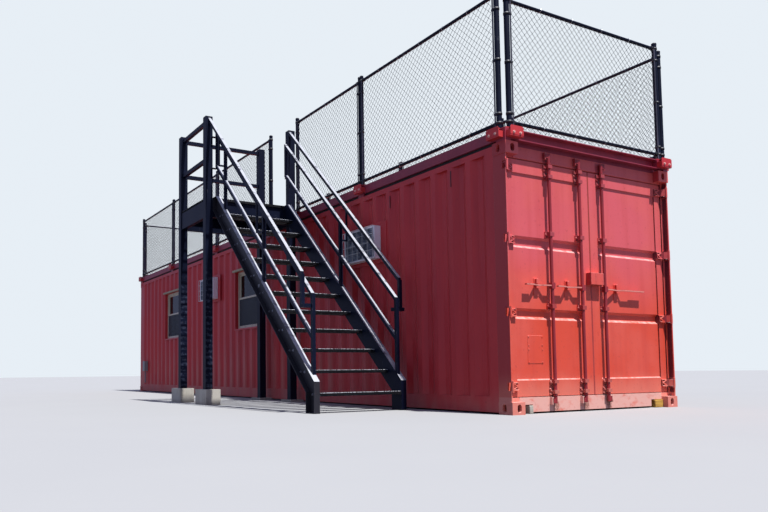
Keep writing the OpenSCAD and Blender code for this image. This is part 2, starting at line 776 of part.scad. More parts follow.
module stair_treads() at_cabin() color(black) for (k = [1 : treads]) {
    x = nose_x + k * tread_run;
    z = land_z - k * rise - tread_drop;
    w = web_in_y - web_out_y;
    translate([x - tread_d, web_out_y, z - grating_t]) {
        for (i = [0 : 6]) translate([i * (tread_d - 36) / 7, 5, 0]) cube([5, w - 10, grating_t]);
        translate([tread_d - 36, 5, 0]) cube([36, w - 10, grating_t]);
        for (y = [0, w - 5]) translate([0, y, 0]) cube([tread_d, 5, grating_t]);
        translate([0, w / 2 - 4, grating_t - 10]) cube([tread_d - 36, 8, 10]);
    }
}

// A bar with plumb ends that follows the slope, its middle line at a height above the nosings
module raked_bar(x0, x1, up, y, s) {
    v = s / 2 / cos(atan(pitch));
    translate([0, y + s / 2, 0]) rotate([90, 0, 0]) linear_extrude(s) polygon([
        [x0, nose_z(x0) + up - v], [x1, nose_z(x1) + up - v],
        [x1, nose_z(x1) + up + v], [x0, nose_z(x0) + up + v]]);
}

// A post that stands on the stringer's sloping top edge
module stringer_post(x, top, y, s) {
    a = x - s / 2;
    b = x + s / 2;
    translate([0, y + s / 2, 0]) rotate([90, 0, 0]) linear_extrude(s) polygon([
        [a, nose_z(a) + stringer_up], [b, nose_z(b) + stringer_up],
        [b, nose_z(x) + top], [a, nose_z(x) + top]]);
}

// Stair guard: two sloping rails, posts, and a handrail beside it with a return at its foot
module stair_guard(y, out, post_face, head_post) {
    s = rail_s;
    newel_x = foot_x - 90;
    head_x = land_x[1] + 50;
    hand_y = y + out * hand_out;
    for (up = [rail_up[0], rail_up[1]]) raked_bar(head_x - s / 2, newel_x, up, y, s);
    stringer_post(newel_x, rail_up[1] + s / 2, y, s);
    // upright at the head, tied to the landing's post by two plates
    span([head_x - s / 2, y - s / 2, nose_z(head_x) + rail_up[0]],
         [head_x + s / 2, y + s / 2, nose_z(head_x) + rail_up[1] + s / 2]);
    for (up = rail_up) if (up < rail_up[2]) {
        z = nose_z(head_x) + up;
        span([land_x[1], min(y, post_face + out * 20), z - 30], [head_x, max(y, post_face + out * 20), z - 22]);
    }
    posts = head_post ? [head_x + 290, 3500] : [3500];
    for (x = posts) stringer_post(x, rail_up[1], y, s);
    // handrail with its return to the newel
    end_x = newel_x - 60;
    drop = nose_z(end_x) + rail_up[2] - 310;
    raked_bar(land_x[1], end_x, rail_up[2], hand_y, s);
    span([end_x - s / 2, hand_y - s / 2, drop], [end_x + s / 2, hand_y + s / 2, nose_z(end_x) + rail_up[2]]);
    span([end_x - s / 2, min(y, hand_y) - s / 2, drop - s], [newel_x, max(y, hand_y) + s / 2, drop]);
    // brackets between the posts and the handrail
    for (x = posts) {
        z = nose_z(x) + 640;
        span([x - 10, min(y, hand_y), z], [x + 10, max(y, hand_y), z + 20]);
        span([x - 10, hand_y - 10, z], [x + 10, hand_y + 10, nose_z(x) + rail_up[2]]);
    }
}

module outer_guard() at_cabin() color(black)
    stair_guard(web_out_y - rail_s / 2, -1, post_out_y + stair_post, true);
module inner_guard() at_cabin() color(black)
    stair_guard(web_in_y + rail_s / 2, 1, post_in_y - stair_post, false);

// Landing guards on the outer side and the far end
module landing_guards() at_cabin() color(black) {
    s = guard_s;
    in = (stair_post - s) / 2;
    x0 = land_x[0] + stair_post;
    x1 = land_x[1] - stair_post;
    y0 = post_out_y + stair_post;
    y1 = post_in_y - stair_post;
    for (up = guard_up) {
        z = land_z + up - s;
        span([x0, post_out_y + in, z], [x1, post_out_y + in + s, z + s]);
        span([land_x[0] + in, y0, z], [land_x[0] + in + s, y1, z + s]);
    }
}

// Door leaves

// Outline of a leaf's sheet in X-Z: flat frame members, panels and recessed channels
module leaf_sheet(width) {
    p = -panel_in;
    c = -channel_in;
    s = 12;
    line = concat(
        [[0, leaf_z[0]], [0, creases[0] - s], [p, creases[0]]],
        [for (ch = channels) each [[p, ch[0] - s], [c, ch[0] + s], [c, ch[1] - s], [p, ch[1] + s]]],
        [[p, creases[1]], [0, creases[1] + s], [0, leaf_z[1]]]);
    back = [for (i = [len(line) - 1 : -1 : 0]) line[i] - [4, 0]];
    translate([0, width, 0]) rotate([90, 0, 0]) linear_extrude(width) polygon(concat(line, back));
}

// One leaf with its hinge edge at +Y and its free edge near the middle line
module leaf() {
    free = leaf_gap / 2;
    edge = 50;
    // frame tubes at the two edges, and members at the top and bottom
    difference() {
        span([leaf_x - leaf_t, free, leaf_z[0]], [leaf_x, leaf_edge, leaf_z[1]]);
        span([leaf_x - leaf_t - 1, free + free_frame, leaf_z[0] + edge],
             [leaf_x + 1, leaf_edge - hinge_frame, leaf_z[1] - edge]);
    }
    translate([leaf_x, free + free_frame, 0])
        leaf_sheet(leaf_edge - hinge_frame - free - free_frame);
    for (z = hinge_z) hinge_blade(z);
}

// Strap from the leaf's face, past the recess, to the knuckle on the pin
module hinge_blade(z) {
    h = blade_h;
    face = hinge_x - leaf_x;
    difference() {
        translate([0, 0, z - h / 2]) union() {
            span([leaf_x, leaf_edge - 95, 0], [leaf_x + 10, leaf_edge - 14, h]);
            linear_extrude(h) polygon([for (p = [[-face, -48], [-face, -62], [10 - face, -62],
                [-27, -41], [9, -6], [0, 4], [-35, -32]]) [hinge_x, hinge_y] + p]);
            translate([hinge_x, hinge_y, 0]) cylinder(d = 2 * pin_in[0] - 2, h = h);
        }
        translate([hinge_x, hinge_y, z]) cylinder(d = pin_d + 0.3, h = h + 2, center = true);
    }
}

// Rod guides on a leaf, round the rod at y: long bolted plates at the ends, short ones between
module rod_guides(y) for (k = [0 : len(guide_z) - 1]) {
    end = k == 0 || k == len(guide_z) - 1;
    h = end ? guide_h[0] : guide_h[1];
    strap = end ? 34 : 40;
    x = leaf_x - (end ? 0 : panel_in);
    z = guide_z[k];
    out = rod_x + rod_d / 2 + 6;
    span([x, y - guide_w / 2, z - h / 2], [leaf_x + 5, y + guide_w / 2, z + h / 2]);
    for (c = end ? [z - h / 2 + strap / 2 + 8, z + h / 2 - strap / 2 - 8] : [z]) difference() {
        span([x, y - rod_d / 2 - 11, c - strap / 2], [out, y + rod_d / 2 + 11, c + strap / 2]);
        translate([rod_x, y, c]) cylinder(d = rod_d + 1, h = 2 * strap, center = true);
    }
}

// Retainer behind a handle: a long plate, a lip under the bar and a hook above it, open to the front
module handle_retainer(y) {
    x = leaf_x - panel_in;
    base = 6;
    span([x, y - 30, handle_z - 105], [x + base, y + 30, handle_z + 66]);
    span([x + base, y - 26, handle_z - 32], [x + 38, y + 26, handle_z - 17]);
    span([x + 32, y - 26, handle_z - 17], [x + 38, y + 26, handle_z - 12]);
    difference() {
        span([x + base, y - 20, handle_z + 17], [x + 34, y + 20, handle_z + 58]);
        span([x + base + 8, y - 21, handle_z + 28], [x + 26, y + 21, handle_z + 46]);
    }
}

// Half of the welded lock box that covers the joint between the leaves
module lock_box_half(reach)
    span([leaf_x, lock_gap / 2, lock_z[0]], [leaf_x + lock_out, reach, lock_z[1]]);

module right_door() at_cabin() color(red) {
    leaf();
    rod_guides(rod_y[2]);
    handle_retainer(rod_y[2] + retainer_y[2]);
    lock_box_half(lock_y[1]);
}

module left_door() at_cabin() color(red) mirror([0, 1, 0]) {
    leaf();
    for (i = [0, 1]) {
        rod_guides(-rod_y[i]);
        handle_retainer(-rod_y[i] + retainer_y[i]);
    }
    lock_box_half(lock_y[0]);
}

// A handle in plan: a flat bar that dips behind its retainer and ends in a wider grip
module handle_plan(l, c, grip) {
    dip = [c - 32, c + 32];
    back = 82;
    polygon([[-6, 0], [18, 0], [18, back], [-8, dip[0]], [-8, dip[1]], [18, c + back - 4], [19, l],
        [-9, l], [-9, l - grip], [-2, l - grip - 3], [-2, c + back - 2], [-33, dip[1]],
        [-33, dip[0]], [-6, back + 4]]);
}

// Lock rod with a cam at each end and a handle that lies along the leaf
module lock_rod(i) color(red) {
    side = rod_turn(i);
    translate([rod_x, rod_y[i], 0]) {
        translate([0, 0, rod_ends[0]]) cylinder(d = rod_d, h = rod_ends[1] - rod_ends[0]);
        for (top = [false, true])
            translate([-11, side > 0 ? 0 : -cam_reach, cam_z(top)]) cube([22, cam_reach, cam_h]);
        for (z = [guide_z[0] - guide_h[0] / 2 - 10, guide_z[3] + guide_h[0] / 2 + 1])
            translate([0, 0, z]) cylinder(d = rod_d + 10, h = 9);
        translate([-22, -22, handle_z - 30]) cube([44, 44, 60]);
        translate([0, 0, handle_z - 6]) mirror([0, side > 0 ? 0 : 1, 0]) linear_extrude(12)
            handle_plan(handle_l[i], retainer_y[i], grip_l[i]);
    }
}

module lock_rod_1() at_cabin() lock_rod(0);
module lock_rod_2() at_cabin() lock_rod(1);
module lock_rod_3() at_cabin() lock_rod(2);

door_post_left();
door_post_right();
door_header();
door_sill();
far_posts();
far_rails();
side_rails();
near_wall();
back_wall();
far_wall();
roof_panel();
floor_deck();
cross_members();
opening_linings();
window_frames();
window_glass();
wall_units();
unit_cages();
meter_box();
roof_beams();
post_brackets();
fence_near_1();
fence_near_2();
fence_near_3();
fence_near_4();
fence_near_5();
fence_back_1();
fence_back_2();
fence_back_3();
fence_back_4();
fence_back_5();
fence_door_end();
fence_far_end();
footings();
landing_posts();
landing_frame();
landing_grating();
landing_guards();
outer_stringer();
inner_stringer();
stair_treads();
outer_guard();
inner_guard();
left_door();
right_door();
lock_rod_1();
lock_rod_2();
lock_rod_3();
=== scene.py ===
import math

import bmesh
import bpy
from mathutils import Matrix, Vector


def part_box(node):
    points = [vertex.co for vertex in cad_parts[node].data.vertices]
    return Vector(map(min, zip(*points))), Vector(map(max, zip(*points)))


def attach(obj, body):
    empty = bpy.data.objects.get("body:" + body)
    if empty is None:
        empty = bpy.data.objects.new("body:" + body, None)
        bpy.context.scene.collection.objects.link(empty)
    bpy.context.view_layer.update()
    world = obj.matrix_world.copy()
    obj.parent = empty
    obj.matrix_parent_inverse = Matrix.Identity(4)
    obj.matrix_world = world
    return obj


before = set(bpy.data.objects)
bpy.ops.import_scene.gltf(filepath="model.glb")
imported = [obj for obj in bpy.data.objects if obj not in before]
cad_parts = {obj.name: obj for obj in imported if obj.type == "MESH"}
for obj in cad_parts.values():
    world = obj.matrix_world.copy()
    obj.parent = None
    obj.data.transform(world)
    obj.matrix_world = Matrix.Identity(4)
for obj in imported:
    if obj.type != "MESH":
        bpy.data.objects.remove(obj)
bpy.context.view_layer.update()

# Shipping container cabin: finishes, chain link, fittings and small hardware round the solids.
# Pieces are drawn in the cabin's own frame, with Y = 0 on the container's middle line, and
# moved by CABIN_Y when they are finished. Metres; the cargo doors are at +X.

CABIN_Y = (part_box("left_door")[1].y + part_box("right_door")[0].y) / 2
HALF_L, HALF_W = 6.096, 1.219
WALL_Y = 1.213  # outer flats of the long walls
BEAM, DECK = 2.611, 2.711  # underside and top of the roof beams

# cargo doors: front of a leaf's panels, its outer edge and its two ends; rods and fittings
PANEL_X, LEAF_EDGE, LEAF_Z = 6.003, 1.165, (0.165, 2.450)
ROD_Y = (-0.60, -0.17, 0.17)
ROD_BODY = ("left_door", "left_door", "right_door")
HINGE_Z = (0.262, 0.960, 1.660, 2.362)
GUIDE_Z = (0.252, 1.035, 1.745, 2.370)
HANDLE_Z, RING_Z = 1.237, 1.277
LOCK_X, LOCK_Y, LOCK_Z = 6.075, (-0.069, 0.1235), (1.2765, 1.3965)

# stair: landing, its edge over the stair, and the outer faces of the two webs
LAND_Z, NOSE_X, RUN = 2.770, 2.020, 0.247
RISE = LAND_Z / 12
SLOPE = RISE / RUN
TREADS, TREAD_DROP = 11, 0.027
WEB_OUT, WEB_IN = -2.484, -1.479

# windows and wall units: left edges, underside, width and height, and how far in or out
WINDOW_X, WINDOW_Z, WINDOW, WINDOW_IN = (-4.190, -0.345), 1.155, (0.960, 0.965), 0.058
UNIT_X, UNIT_Z, UNIT, UNIT_OUT = (-1.815, 3.350), 1.755, (0.670, 0.390), 0.090


# Node trees -----------------------------------------------------------

def math_node(operation, swapped=False):
    """A method that adds a Math node for a wire and what is worked into it."""
    def method(*terms):
        order = reversed(terms) if swapped else terms
        return add(terms[0].tree, "ShaderNodeMath", dict(enumerate(order)), operation=operation)
    return method


class Wire:
    """An output socket. Sums, products and the like add Math nodes to its tree, and a name in
    brackets gives another output of its node."""

    __add__ = __radd__ = math_node("ADD")
    __mul__ = __rmul__ = math_node("MULTIPLY")
    __sub__, __rsub__ = math_node("SUBTRACT"), math_node("SUBTRACT", swapped=True)
    __truediv__, __mod__ = math_node("DIVIDE"), math_node("FLOORED_MODULO")
    __abs__, at_most = math_node("ABSOLUTE"), math_node("MINIMUM")

    def __init__(self, tree, socket):
        self.tree, self.socket = tree, socket

    def __getitem__(self, name):
        return Wire(self.tree, self.socket.node.outputs[name])


def add(tree, kind, inputs=None, out=0, **settings):
    """Adds one node to a tree, with its settings, and the values or links of its sockets; a
    socket that is given None stays free."""
    node = tree.nodes.new(kind)
    for key, value in settings.items():
        setattr(node, key, value)
    for key, value in (inputs or {}).items():
        if isinstance(value, Wire):
            tree.links.new(value.socket, node.inputs[key])
        elif value is not None:
            node.inputs[key].default_value = value
    return Wire(tree, node.outputs[out]) if len(node.outputs) else None


def shade(colour):
    """A colour from its 0 to 255 screen values. Wires, and colours that have their alpha, stay."""
    if isinstance(colour, Wire) or len(colour) == 4:
        return colour
    return tuple(c / 12.92 if c <= 0.04045 else ((c + 0.055) / 1.055) ** 2.4
                 for c in (v / 255 for v in colour)) + (1.0,)


class Finish:
    """A material under construction: a colour with others laid over it, one by one. Patterns
    read Object coordinates, with y counted from the container's middle line. look is the
    direction that a face looks in."""

    def __init__(self, name, colour):
        self.colour = colour
        self.material = bpy.data.materials.new(name)
        self.material.use_nodes = True
        self.tree = self.material.node_tree
        self.tree.nodes.clear()
        self.place = self.add("TexCoord", out="Object")
        split = self.add("SeparateXYZ", {0: self.place})
        self.x, self.y, self.z = split, split["Y"] - CABIN_Y, split["Z"]
        self.normal = self.add("NewGeometry", out="Normal")
        self.look = self.add("SeparateXYZ", {0: self.normal})

    def add(self, kind, inputs=None, out=0, **settings):
        return add(self.tree, "ShaderNode" + kind, inputs, out, **settings)

    def noise(self, scale, detail=3.0, stretch=(1, 1, 1), rough=0.55, shift=0.0):
        where = self.add("Mapping", {"Vector": self.place, "Scale": stretch,
                                     "Location": (shift, 0.7 * shift, 1.3 * shift)})
        return self.add("TexNoise", {"Vector": where, "Scale": scale, "Detail": detail,
                                     "Roughness": rough})

    def step(self, value, low, high):
        """0 below low and 1 above high, smooth between them; low may be above high."""
        return self.add("MapRange", {"Value": value, "From Min": low, "From Max": high},
                        interpolation_type="SMOOTHSTEP")

    def cloud(self, low, high, *noise, **more):
        """Noise that is 0 below low and 1 above high."""
        return self.step(self.noise(*noise, **more), low, high)

    def mix(self, mask, below, above):
        return self.add("Mix", {0: mask, 6: shade(below), 7: shade(above)}, 2, data_type="RGBA")

    def lay(self, mask, colour):
        self.colour = self.mix(mask, self.colour, colour)

    def upward(self):
        """1 on faces that look up."""
        return self.step(self.look["Z"], 0.45, 0.80)

    def patch(self, low, high):
        """1 within a box given as two corners of (y, z)."""
        soft = 0.01
        inside = self.step(self.y, low[0] - soft, low[0] + soft)
        inside = inside * self.step(self.y, high[0] + soft, high[0] - soft)
        inside = inside * self.step(self.z, low[1] - soft, low[1] + soft)
        return inside * self.step(self.z, high[1] + soft, high[1] - soft)

    def worn(self, radius, low, high, scale=38.0, shift=1.0):
        """1 in broken lines along the edges of the shape."""
        round_off = self.add("Bevel", {"Radius": radius}, samples=4)
        alike = self.add("VectorMath", {0: round_off, 1: self.normal}, "Value",
                         operation="DOT_PRODUCT")
        return self.step(alike, 0.985, 0.90) * self.cloud(low, high, scale, 4.0, shift=shift)

    def bump(self, height, distance, strength, normal=None):
        return self.add("Bump", {"Height": height, "Distance": distance, "Strength": strength,
                                 "Normal": normal})

    def rust(self, mask, grain):
        self.lay(mask, self.mix(grain, (84, 40, 24), (126, 66, 38)))

    def dents(self, grain, spots, depth):
        """Wide dents, with orange peel and pitted rust on them."""
        peel = self.bump(grain * 0.3 + self.noise(60.0, 2.0) * 0.7 - spots * 1.5, 0.0006, 0.6)
        return self.bump(self.noise(2.6, 2.0, shift=2.0), 0.012, depth, peel)

    def done(self, roughness, normal=None, metallic=0.0, alpha=1.0, specular=0.5):
        surface = self.add("BsdfPrincipled", {
            "Base Color": shade(self.colour), "Roughness": roughness, "Metallic": metallic,
            "Alpha": alpha, "Specular IOR Level": specular, "Normal": normal})
        self.add("OutputMaterial", {"Surface": surface})
        return self.material


# Finishes -------------------------------------------------------------

def container_paint(name, fresh, faded, deep, dust, dust_top, wash):
    """Marine paint on steel: faded in clouds, with runs, scuffs, rust spots and dust low down."""
    f = Finish(name, fresh)
    clouds = f.cloud(0.35, 0.68, 1.1, 4.0, rough=0.6)
    runs = f.cloud(0.42, 0.75, 7.0, 3.0, (1, 1, 0.07), shift=3.1)
    grain = f.noise(240.0, 2.0)
    f.lay(clouds * 0.8, faded)
    f.lay(runs * 0.35, deep)
    f.lay(f.cloud(0.62, 0.74, 26.0, 5.0, shift=9.0) * 0.35, deep)
    # dust that lies low on the steel and on its ledges
    ground = f.step(f.z, dust_top, 0.0) * f.cloud(0.30, 0.70, 5.0, 5.0, (1, 1, 0.4), shift=5.0)
    ledge = f.upward() * f.cloud(0.2, 0.7, 17.0, 3.0)
    f.lay(ground * wash + ledge * 0.45, dust)
    # ribs rubbed pale low down, away from the door end
    ribs = f.step(abs(f.y), 1.190, 1.208) * f.step(f.z, 1.10, 0.35) * f.step(f.x, 4.4, 2.6)
    f.lay(ribs * f.cloud(0.25, 0.60, 4.0, 4.0, (1, 1, 0.3), shift=2.0) * 0.34, dust)
    # worn edges and rust
    f.lay(f.worn(0.004, 0.50, 0.62) * 0.55, (120, 62, 52))
    spots = f.cloud(0.705, 0.76, 21.0, 6.0, shift=7.0, rough=0.65)
    bleed = f.cloud(0.70, 0.82, 15.0, 4.0, (1, 1, 0.12), shift=7.0) * 0.35
    f.rust(spots * 0.8 + bleed, grain)
    roughness = 0.42 + clouds * 0.10 + ground * 0.25 + spots * 0.3
    return f.done(roughness, f.dents(grain, spots, 0.35))


def end_coat(name):
    """The end's lighter red: orange low on the leaves, pinker above, chalky at the foot, with
    brown patches on the sill under the rods."""
    f = Finish(name, (224, 78, 54))
    clouds = f.cloud(0.35, 0.68, 1.3, 4.0, rough=0.6)
    runs = f.cloud(0.42, 0.75, 8.0, 4.0, (1, 1, 0.07), shift=3.1)
    grain = f.noise(240.0, 2.0)
    f.lay(f.step(f.z + f.noise(2.0, 3.0) * 0.5, 1.15, 2.0), (222, 94, 100))
    f.lay(clouds * 0.5, (228, 102, 88))
    f.lay(runs * 0.30, (194, 60, 52))
    # painted shade: the frame's sides, which look along Y, laid darker, but not the folds of the
    # panels
    sideways = f.look["Y"]
    recess = f.step(f.x, 6.018, 6.013) * f.step(abs(f.y), 1.168, 1.162)
    f.lay(f.step(abs(sideways), 0.6, 0.8) * (1.0 - recess), (178, 52, 56))
    # duller guides, plates and keepers in line with the rods
    for y in ROD_Y:
        geared = f.patch((y - 0.058, 0.165), (y + 0.058, 2.56)) * f.step(f.x, 6.016, 6.020)
        f.lay(geared * 0.65, (134, 46, 56))
    foot = f.step(f.z + f.noise(6.0, 5.0, (1, 1, 0.5), shift=5.0) * 0.16, 0.50, 0.26)
    f.lay(foot * 0.40, (230, 144, 124))
    chalk = f.step(f.z, 0.168, 0.156) * f.cloud(0.20, 0.50, 9.0, 5.0, (1, 1, 2), shift=6.0)
    chalk = chalk * (0.3 + 0.7 * f.step(abs(f.y), 1.058, 1.050))
    f.lay(chalk * 0.75, (238, 190, 176))
    # painted shade in the folds of the posts beside the leaves
    fold_shade = f.step(f.y * sideways, -0.80, -1.10) * f.step(f.x, 6.078, 6.070)
    fold_shade = fold_shade * f.step(f.z, 0.150, 0.165) * f.step(f.z, 2.47, 2.455)
    f.lay(fold_shade * 0.85, (64, 24, 42))
    f.lay(f.cloud(0.60, 0.72, 34.0, 5.0, shift=9.0) * 0.35, (160, 52, 54))
    for y in ROD_Y:
        brown = f.patch((y - 0.005, 0.020), (y + 0.070, 0.107))
        f.lay(brown * f.cloud(0.30, 0.50, 60.0, 4.0) * 0.75, (128, 78, 62))
    # faces that look up are laid pale pink: dust and painted highlight
    ledge = f.upward() * f.cloud(0.2, 0.7, 17.0, 3.0)
    f.lay(ledge * 0.6, (232, 196, 188))
    f.lay(f.worn(0.004, 0.46, 0.60) * 0.5, (226, 170, 158))
    spots = f.cloud(0.70, 0.76, 23.0, 6.0, shift=7.0, rough=0.65)
    f.rust(spots * 0.8, grain)
    roughness = 0.44 + clouds * 0.10 + foot * 0.3 + spots * 0.3
    return f.done(roughness, f.dents(grain, spots, 0.30))


def rod_coat(name):
    """Maroon on the lock rods, rubbed pale along their handles."""
    f = Finish(name, (158, 46, 52))
    runs = f.cloud(0.40, 0.70, 16.0, 4.0, (1, 1, 0.15))
    f.lay(runs, (132, 34, 44))
    grip = f.step(abs(f.z - HANDLE_Z), 0.034, 0.028)
    for y in ROD_Y:
        grip = grip * f.step(abs(f.y - y), 0.024, 0.030)
    f.lay(grip * f.cloud(0.25, 0.45, 30.0, 4.0) * 0.85, (232, 148, 134))
    f.lay(f.worn(0.003, 0.48, 0.60) * 0.6, (222, 140, 128))
    return f.done(0.40 + runs * 0.12, f.bump(f.noise(80.0, 3.0), 0.0005, 0.6))


def steel_paint(name, base, lift, rough, top_dust_and_highlight=0.8, sheen=0.5, painted_tread_shadows=False):
    """Satin paint on tube and channel: slight clouds, pale on top with dust and painted highlight,
    scuffed along the edges.
    """
    f = Finish(name, base)
    clouds = f.noise(3.0, 4.0)
    f.lay(f.step(clouds, 0.35, 0.7) * 0.5, lift)
    scuffs = f.cloud(0.64, 0.74, 30.0, 5.0, (1, 1, 0.3), shift=6.0)
    f.lay(scuffs * 0.35, (96, 98, 106))
    # dust and a painted highlight where the sun falls on faces that look up; none in the shaded
    # lower flanges of stringers and landing
    roofed = (LAND_Z - (f.x - NOSE_X) * SLOPE).at_most(LAND_Z)
    top = f.upward() * f.cloud(0.22, 0.5, 12.0, 4.0, shift=4.0) * f.step(f.z - roofed, -0.10, -0.05)
    f.lay(top * top_dust_and_highlight, (200, 202, 208))
    if painted_tread_shadows:
        # painted light: pale bands of sun between the treads' shadows on the faces of the outer
        # landing posts towards the door end
        band = f.step(abs(((f.z + f.noise(9.0, 2.0) * 0.03) % 0.075) - 0.0375), 0.026, 0.014)
        band = band * f.step(f.look, 0.5, 0.9) * f.step(f.y, -2.30, -2.40)
        band = band * f.step(f.z, 1.95, 1.40) * f.cloud(0.42, 0.62, 22.0, 4.0, shift=8.0)
        f.lay(band * 0.42, (92, 100, 122))
    f.lay(f.worn(0.003, 0.50, 0.62, 45.0, 2.0) * 0.5, (128, 130, 136))
    normal = f.bump(f.noise(120.0, 2.0) * 0.5 + f.noise(40.0, 2.0) * 0.5, 0.0005, 0.5)
    return f.done(rough + clouds * 0.12 + top * 0.15, normal, specular=sheen)


def enamel(name, base, shadow, rough=0.35):
    """Factory enamel or vinyl, a little dirty in upright clouds."""
    f = Finish(name, base)
    soil = f.cloud(0.45, 0.8, 9.0, 4.0, (1, 1, 0.35))
    f.lay(soil * 0.45, shadow)
    f.lay(f.cloud(0.64, 0.72, 60.0, 3.0, shift=4.0) * 0.25, shadow)
    return f.done(rough + soil * 0.2, f.bump(f.noise(180.0, 2.0), 0.0003, 0.4))


def worn_and_glinting_edge(name):
    """Paint worn through to bright steel in broken dashes, which also stand as a painted highlight
    of the sun on the nosing.
    """
    f = Finish(name, (30, 32, 40))
    bare_and_glint = f.cloud(0.44, 0.52, 70.0, 3.0)
    f.lay(bare_and_glint, (214, 216, 222))
    return f.done(0.4 + bare_and_glint * 0.1)


def bare_steel(name, bright, dull):
    f = Finish(name, bright)
    patch = f.cloud(0.35, 0.7, 18.0, 4.0)
    f.lay(patch, dull)
    return f.done(0.30 + patch * 0.25, f.bump(f.noise(150.0, 2.0), 0.0004, 0.5), metallic=0.75)


# dark, chalky plates put where there is only shade: painted shade
def painted_shade_finish(name):
    f = Finish(name, (26, 24, 26))
    chalk = f.cloud(0.4, 0.75, 30.0, 3.0)
    f.lay(chalk * 0.4, (66, 60, 60))
    return f.done(0.62 + chalk * 0.2, f.bump(f.noise(90.0, 2.0), 0.0005, 0.5))


def concrete(name):
    f = Finish(name, (196, 190, 176))
    sand = f.noise(220.0, 3.0)
    stain = f.cloud(0.42, 0.72, 6.0, 5.0, (1, 1, 0.5))
    pits = f.cloud(0.66, 0.70, 55.0, 4.0, shift=3.0)
    f.lay(stain * 0.6, (146, 136, 118))
    f.lay(sand * 0.35, (216, 212, 202))
    f.lay(f.step(f.z, 0.06, 0.0) * 0.4, (122, 110, 92))
    f.lay(pits * 0.6, (92, 86, 76))
    return f.done(0.86 + stain * 0.06, f.bump(sand * 0.5 - pits * 2.0, 0.0015, 0.8))


def plywood(name):
    """Floor sheets 1.22 m long, with scuffed face grain along the room."""
    f = Finish(name, (150, 112, 74))
    grain = f.noise(30.0, 5.0, (0.08, 1, 1))
    joint = f.step(abs((f.x % 1.22) - 0.61), 0.606, 0.609)
    f.lay(f.step(grain, 0.35, 0.7), (112, 78, 48))
    f.lay(f.cloud(0.5, 0.75, 3.0, 4.0) * 0.5, (96, 82, 66))
    f.lay(joint, (46, 34, 24))
    return f.done(0.55 + grain * 0.15, f.bump(grain - joint * 3.0, 0.0006, 0.6))


def window_pane(name):
    f = Finish(name, (14, 22, 20))
    film = f.cloud(0.5, 0.8, 7.0, 4.0, (1, 1, 0.5))
    f.lay(film * 0.2, (70, 76, 74))
    return f.done(0.04 + film * 0.06, alpha=0.86, specular=0.4)


def insect_screen(name):
    """Woven screen, 1.6 mm to a square."""
    f = Finish(name, (26, 30, 36))
    across = f.step(abs((f.x % 0.0016) - 0.0008), 0.00030, 0.00040)
    up = f.step(abs((f.z % 0.0016) - 0.0008), 0.00030, 0.00040)
    wires = across + up - across * up
    f.lay(wires, (54, 60, 70))
    return f.done(0.60, alpha=wires * 0.75)


def ochre(name):
    f = Finish(name, (206, 160, 70))
    grain = f.noise(40.0, 4.0, (1, 0.15, 1))
    f.lay(f.step(grain, 0.4, 0.7), (150, 104, 44))
    return f.done(0.8 + grain * 0.1, f.bump(grain, 0.0015, 0.7))


# the long sides' red is darker than the end's: partly a faded end, partly painted shade
side_paint = container_paint("side_paint", (196, 45, 52), (206, 56, 58), (158, 34, 46),
                             (196, 132, 120), 0.30, 0.45)
# darker and bluer than the sides: painted shade on the roof beams
beam_paint_with_painted_shade = container_paint("beam_paint_with_painted_shade", (146, 44, 66), (158, 54, 72), (118, 34, 54),
                             (196, 132, 120), 0.30, 0.45)
end_paint = end_coat("end_paint")
rod_paint = rod_coat("rod_paint")
seal_paint = container_paint("seal_paint", (184, 66, 60), (196, 78, 70), (120, 40, 42),
                             (206, 136, 122), 0.40, 0.40)
# black paint with a blue tint that is a painted sky reflection
black_steel = steel_paint("black_steel", (8, 15, 36), (16, 25, 50), 0.40, sheen=0.18)
post_steel = steel_paint("post_steel", (8, 15, 36), (16, 25, 50), 0.40, sheen=0.18, painted_tread_shadows=True)
mesh_coat = steel_paint("mesh_coat", (20, 21, 27), (32, 34, 42), 0.42, 0.30)
# the tension bars are lighter, lilac in clouds: painted highlights on black paint
bar_coat_with_painted_highlights = steel_paint("bar_coat_with_painted_highlights", (46, 46, 58), (96, 92, 110), 0.40, 0.6)
grating_steel = steel_paint("grating_steel", (8, 9, 14), (18, 20, 26), 0.5, 0.5, sheen=0.25)
# the outer stringer's web is greyer than the other black steel: painted reflection of the ground
web_paint_with_painted_reflection = steel_paint("web_paint_with_painted_reflection", (38, 37, 44), (50, 48, 56), 0.42)
bright_edge = worn_and_glinting_edge("bright_edge")
almond = enamel("almond_frame", (206, 196, 176), (168, 156, 134))
case_enamel = enamel("case_enamel", (244, 242, 248), (206, 204, 212), 0.4)
white_wire = enamel("white_wire", (220, 220, 220), (176, 174, 170), 0.4)
box_enamel = enamel("box_enamel", (150, 152, 152), (112, 112, 110), 0.45)
dusty_red = enamel("dusty_red", (224, 168, 160), (190, 110, 100), 0.5)
flashing = enamel("flashing", (168, 148, 120), (128, 108, 84), 0.5)
coil_metal = bare_steel("coil_metal", (186, 192, 204), (126, 132, 142))
zinc = bare_steel("zinc", (200, 202, 206), (150, 152, 156))
dull_zinc = bare_steel("dull_zinc", (168, 170, 178), (118, 120, 128))
dark_gap = painted_shade_finish("dark_gap")
grey_concrete = concrete("grey_concrete")
floor_sheets = plywood("floor_sheets")
pane = window_pane("window_pane")
screen_weave = insect_screen("screen_weave")
ochre_wood = ochre("ochre_wood")

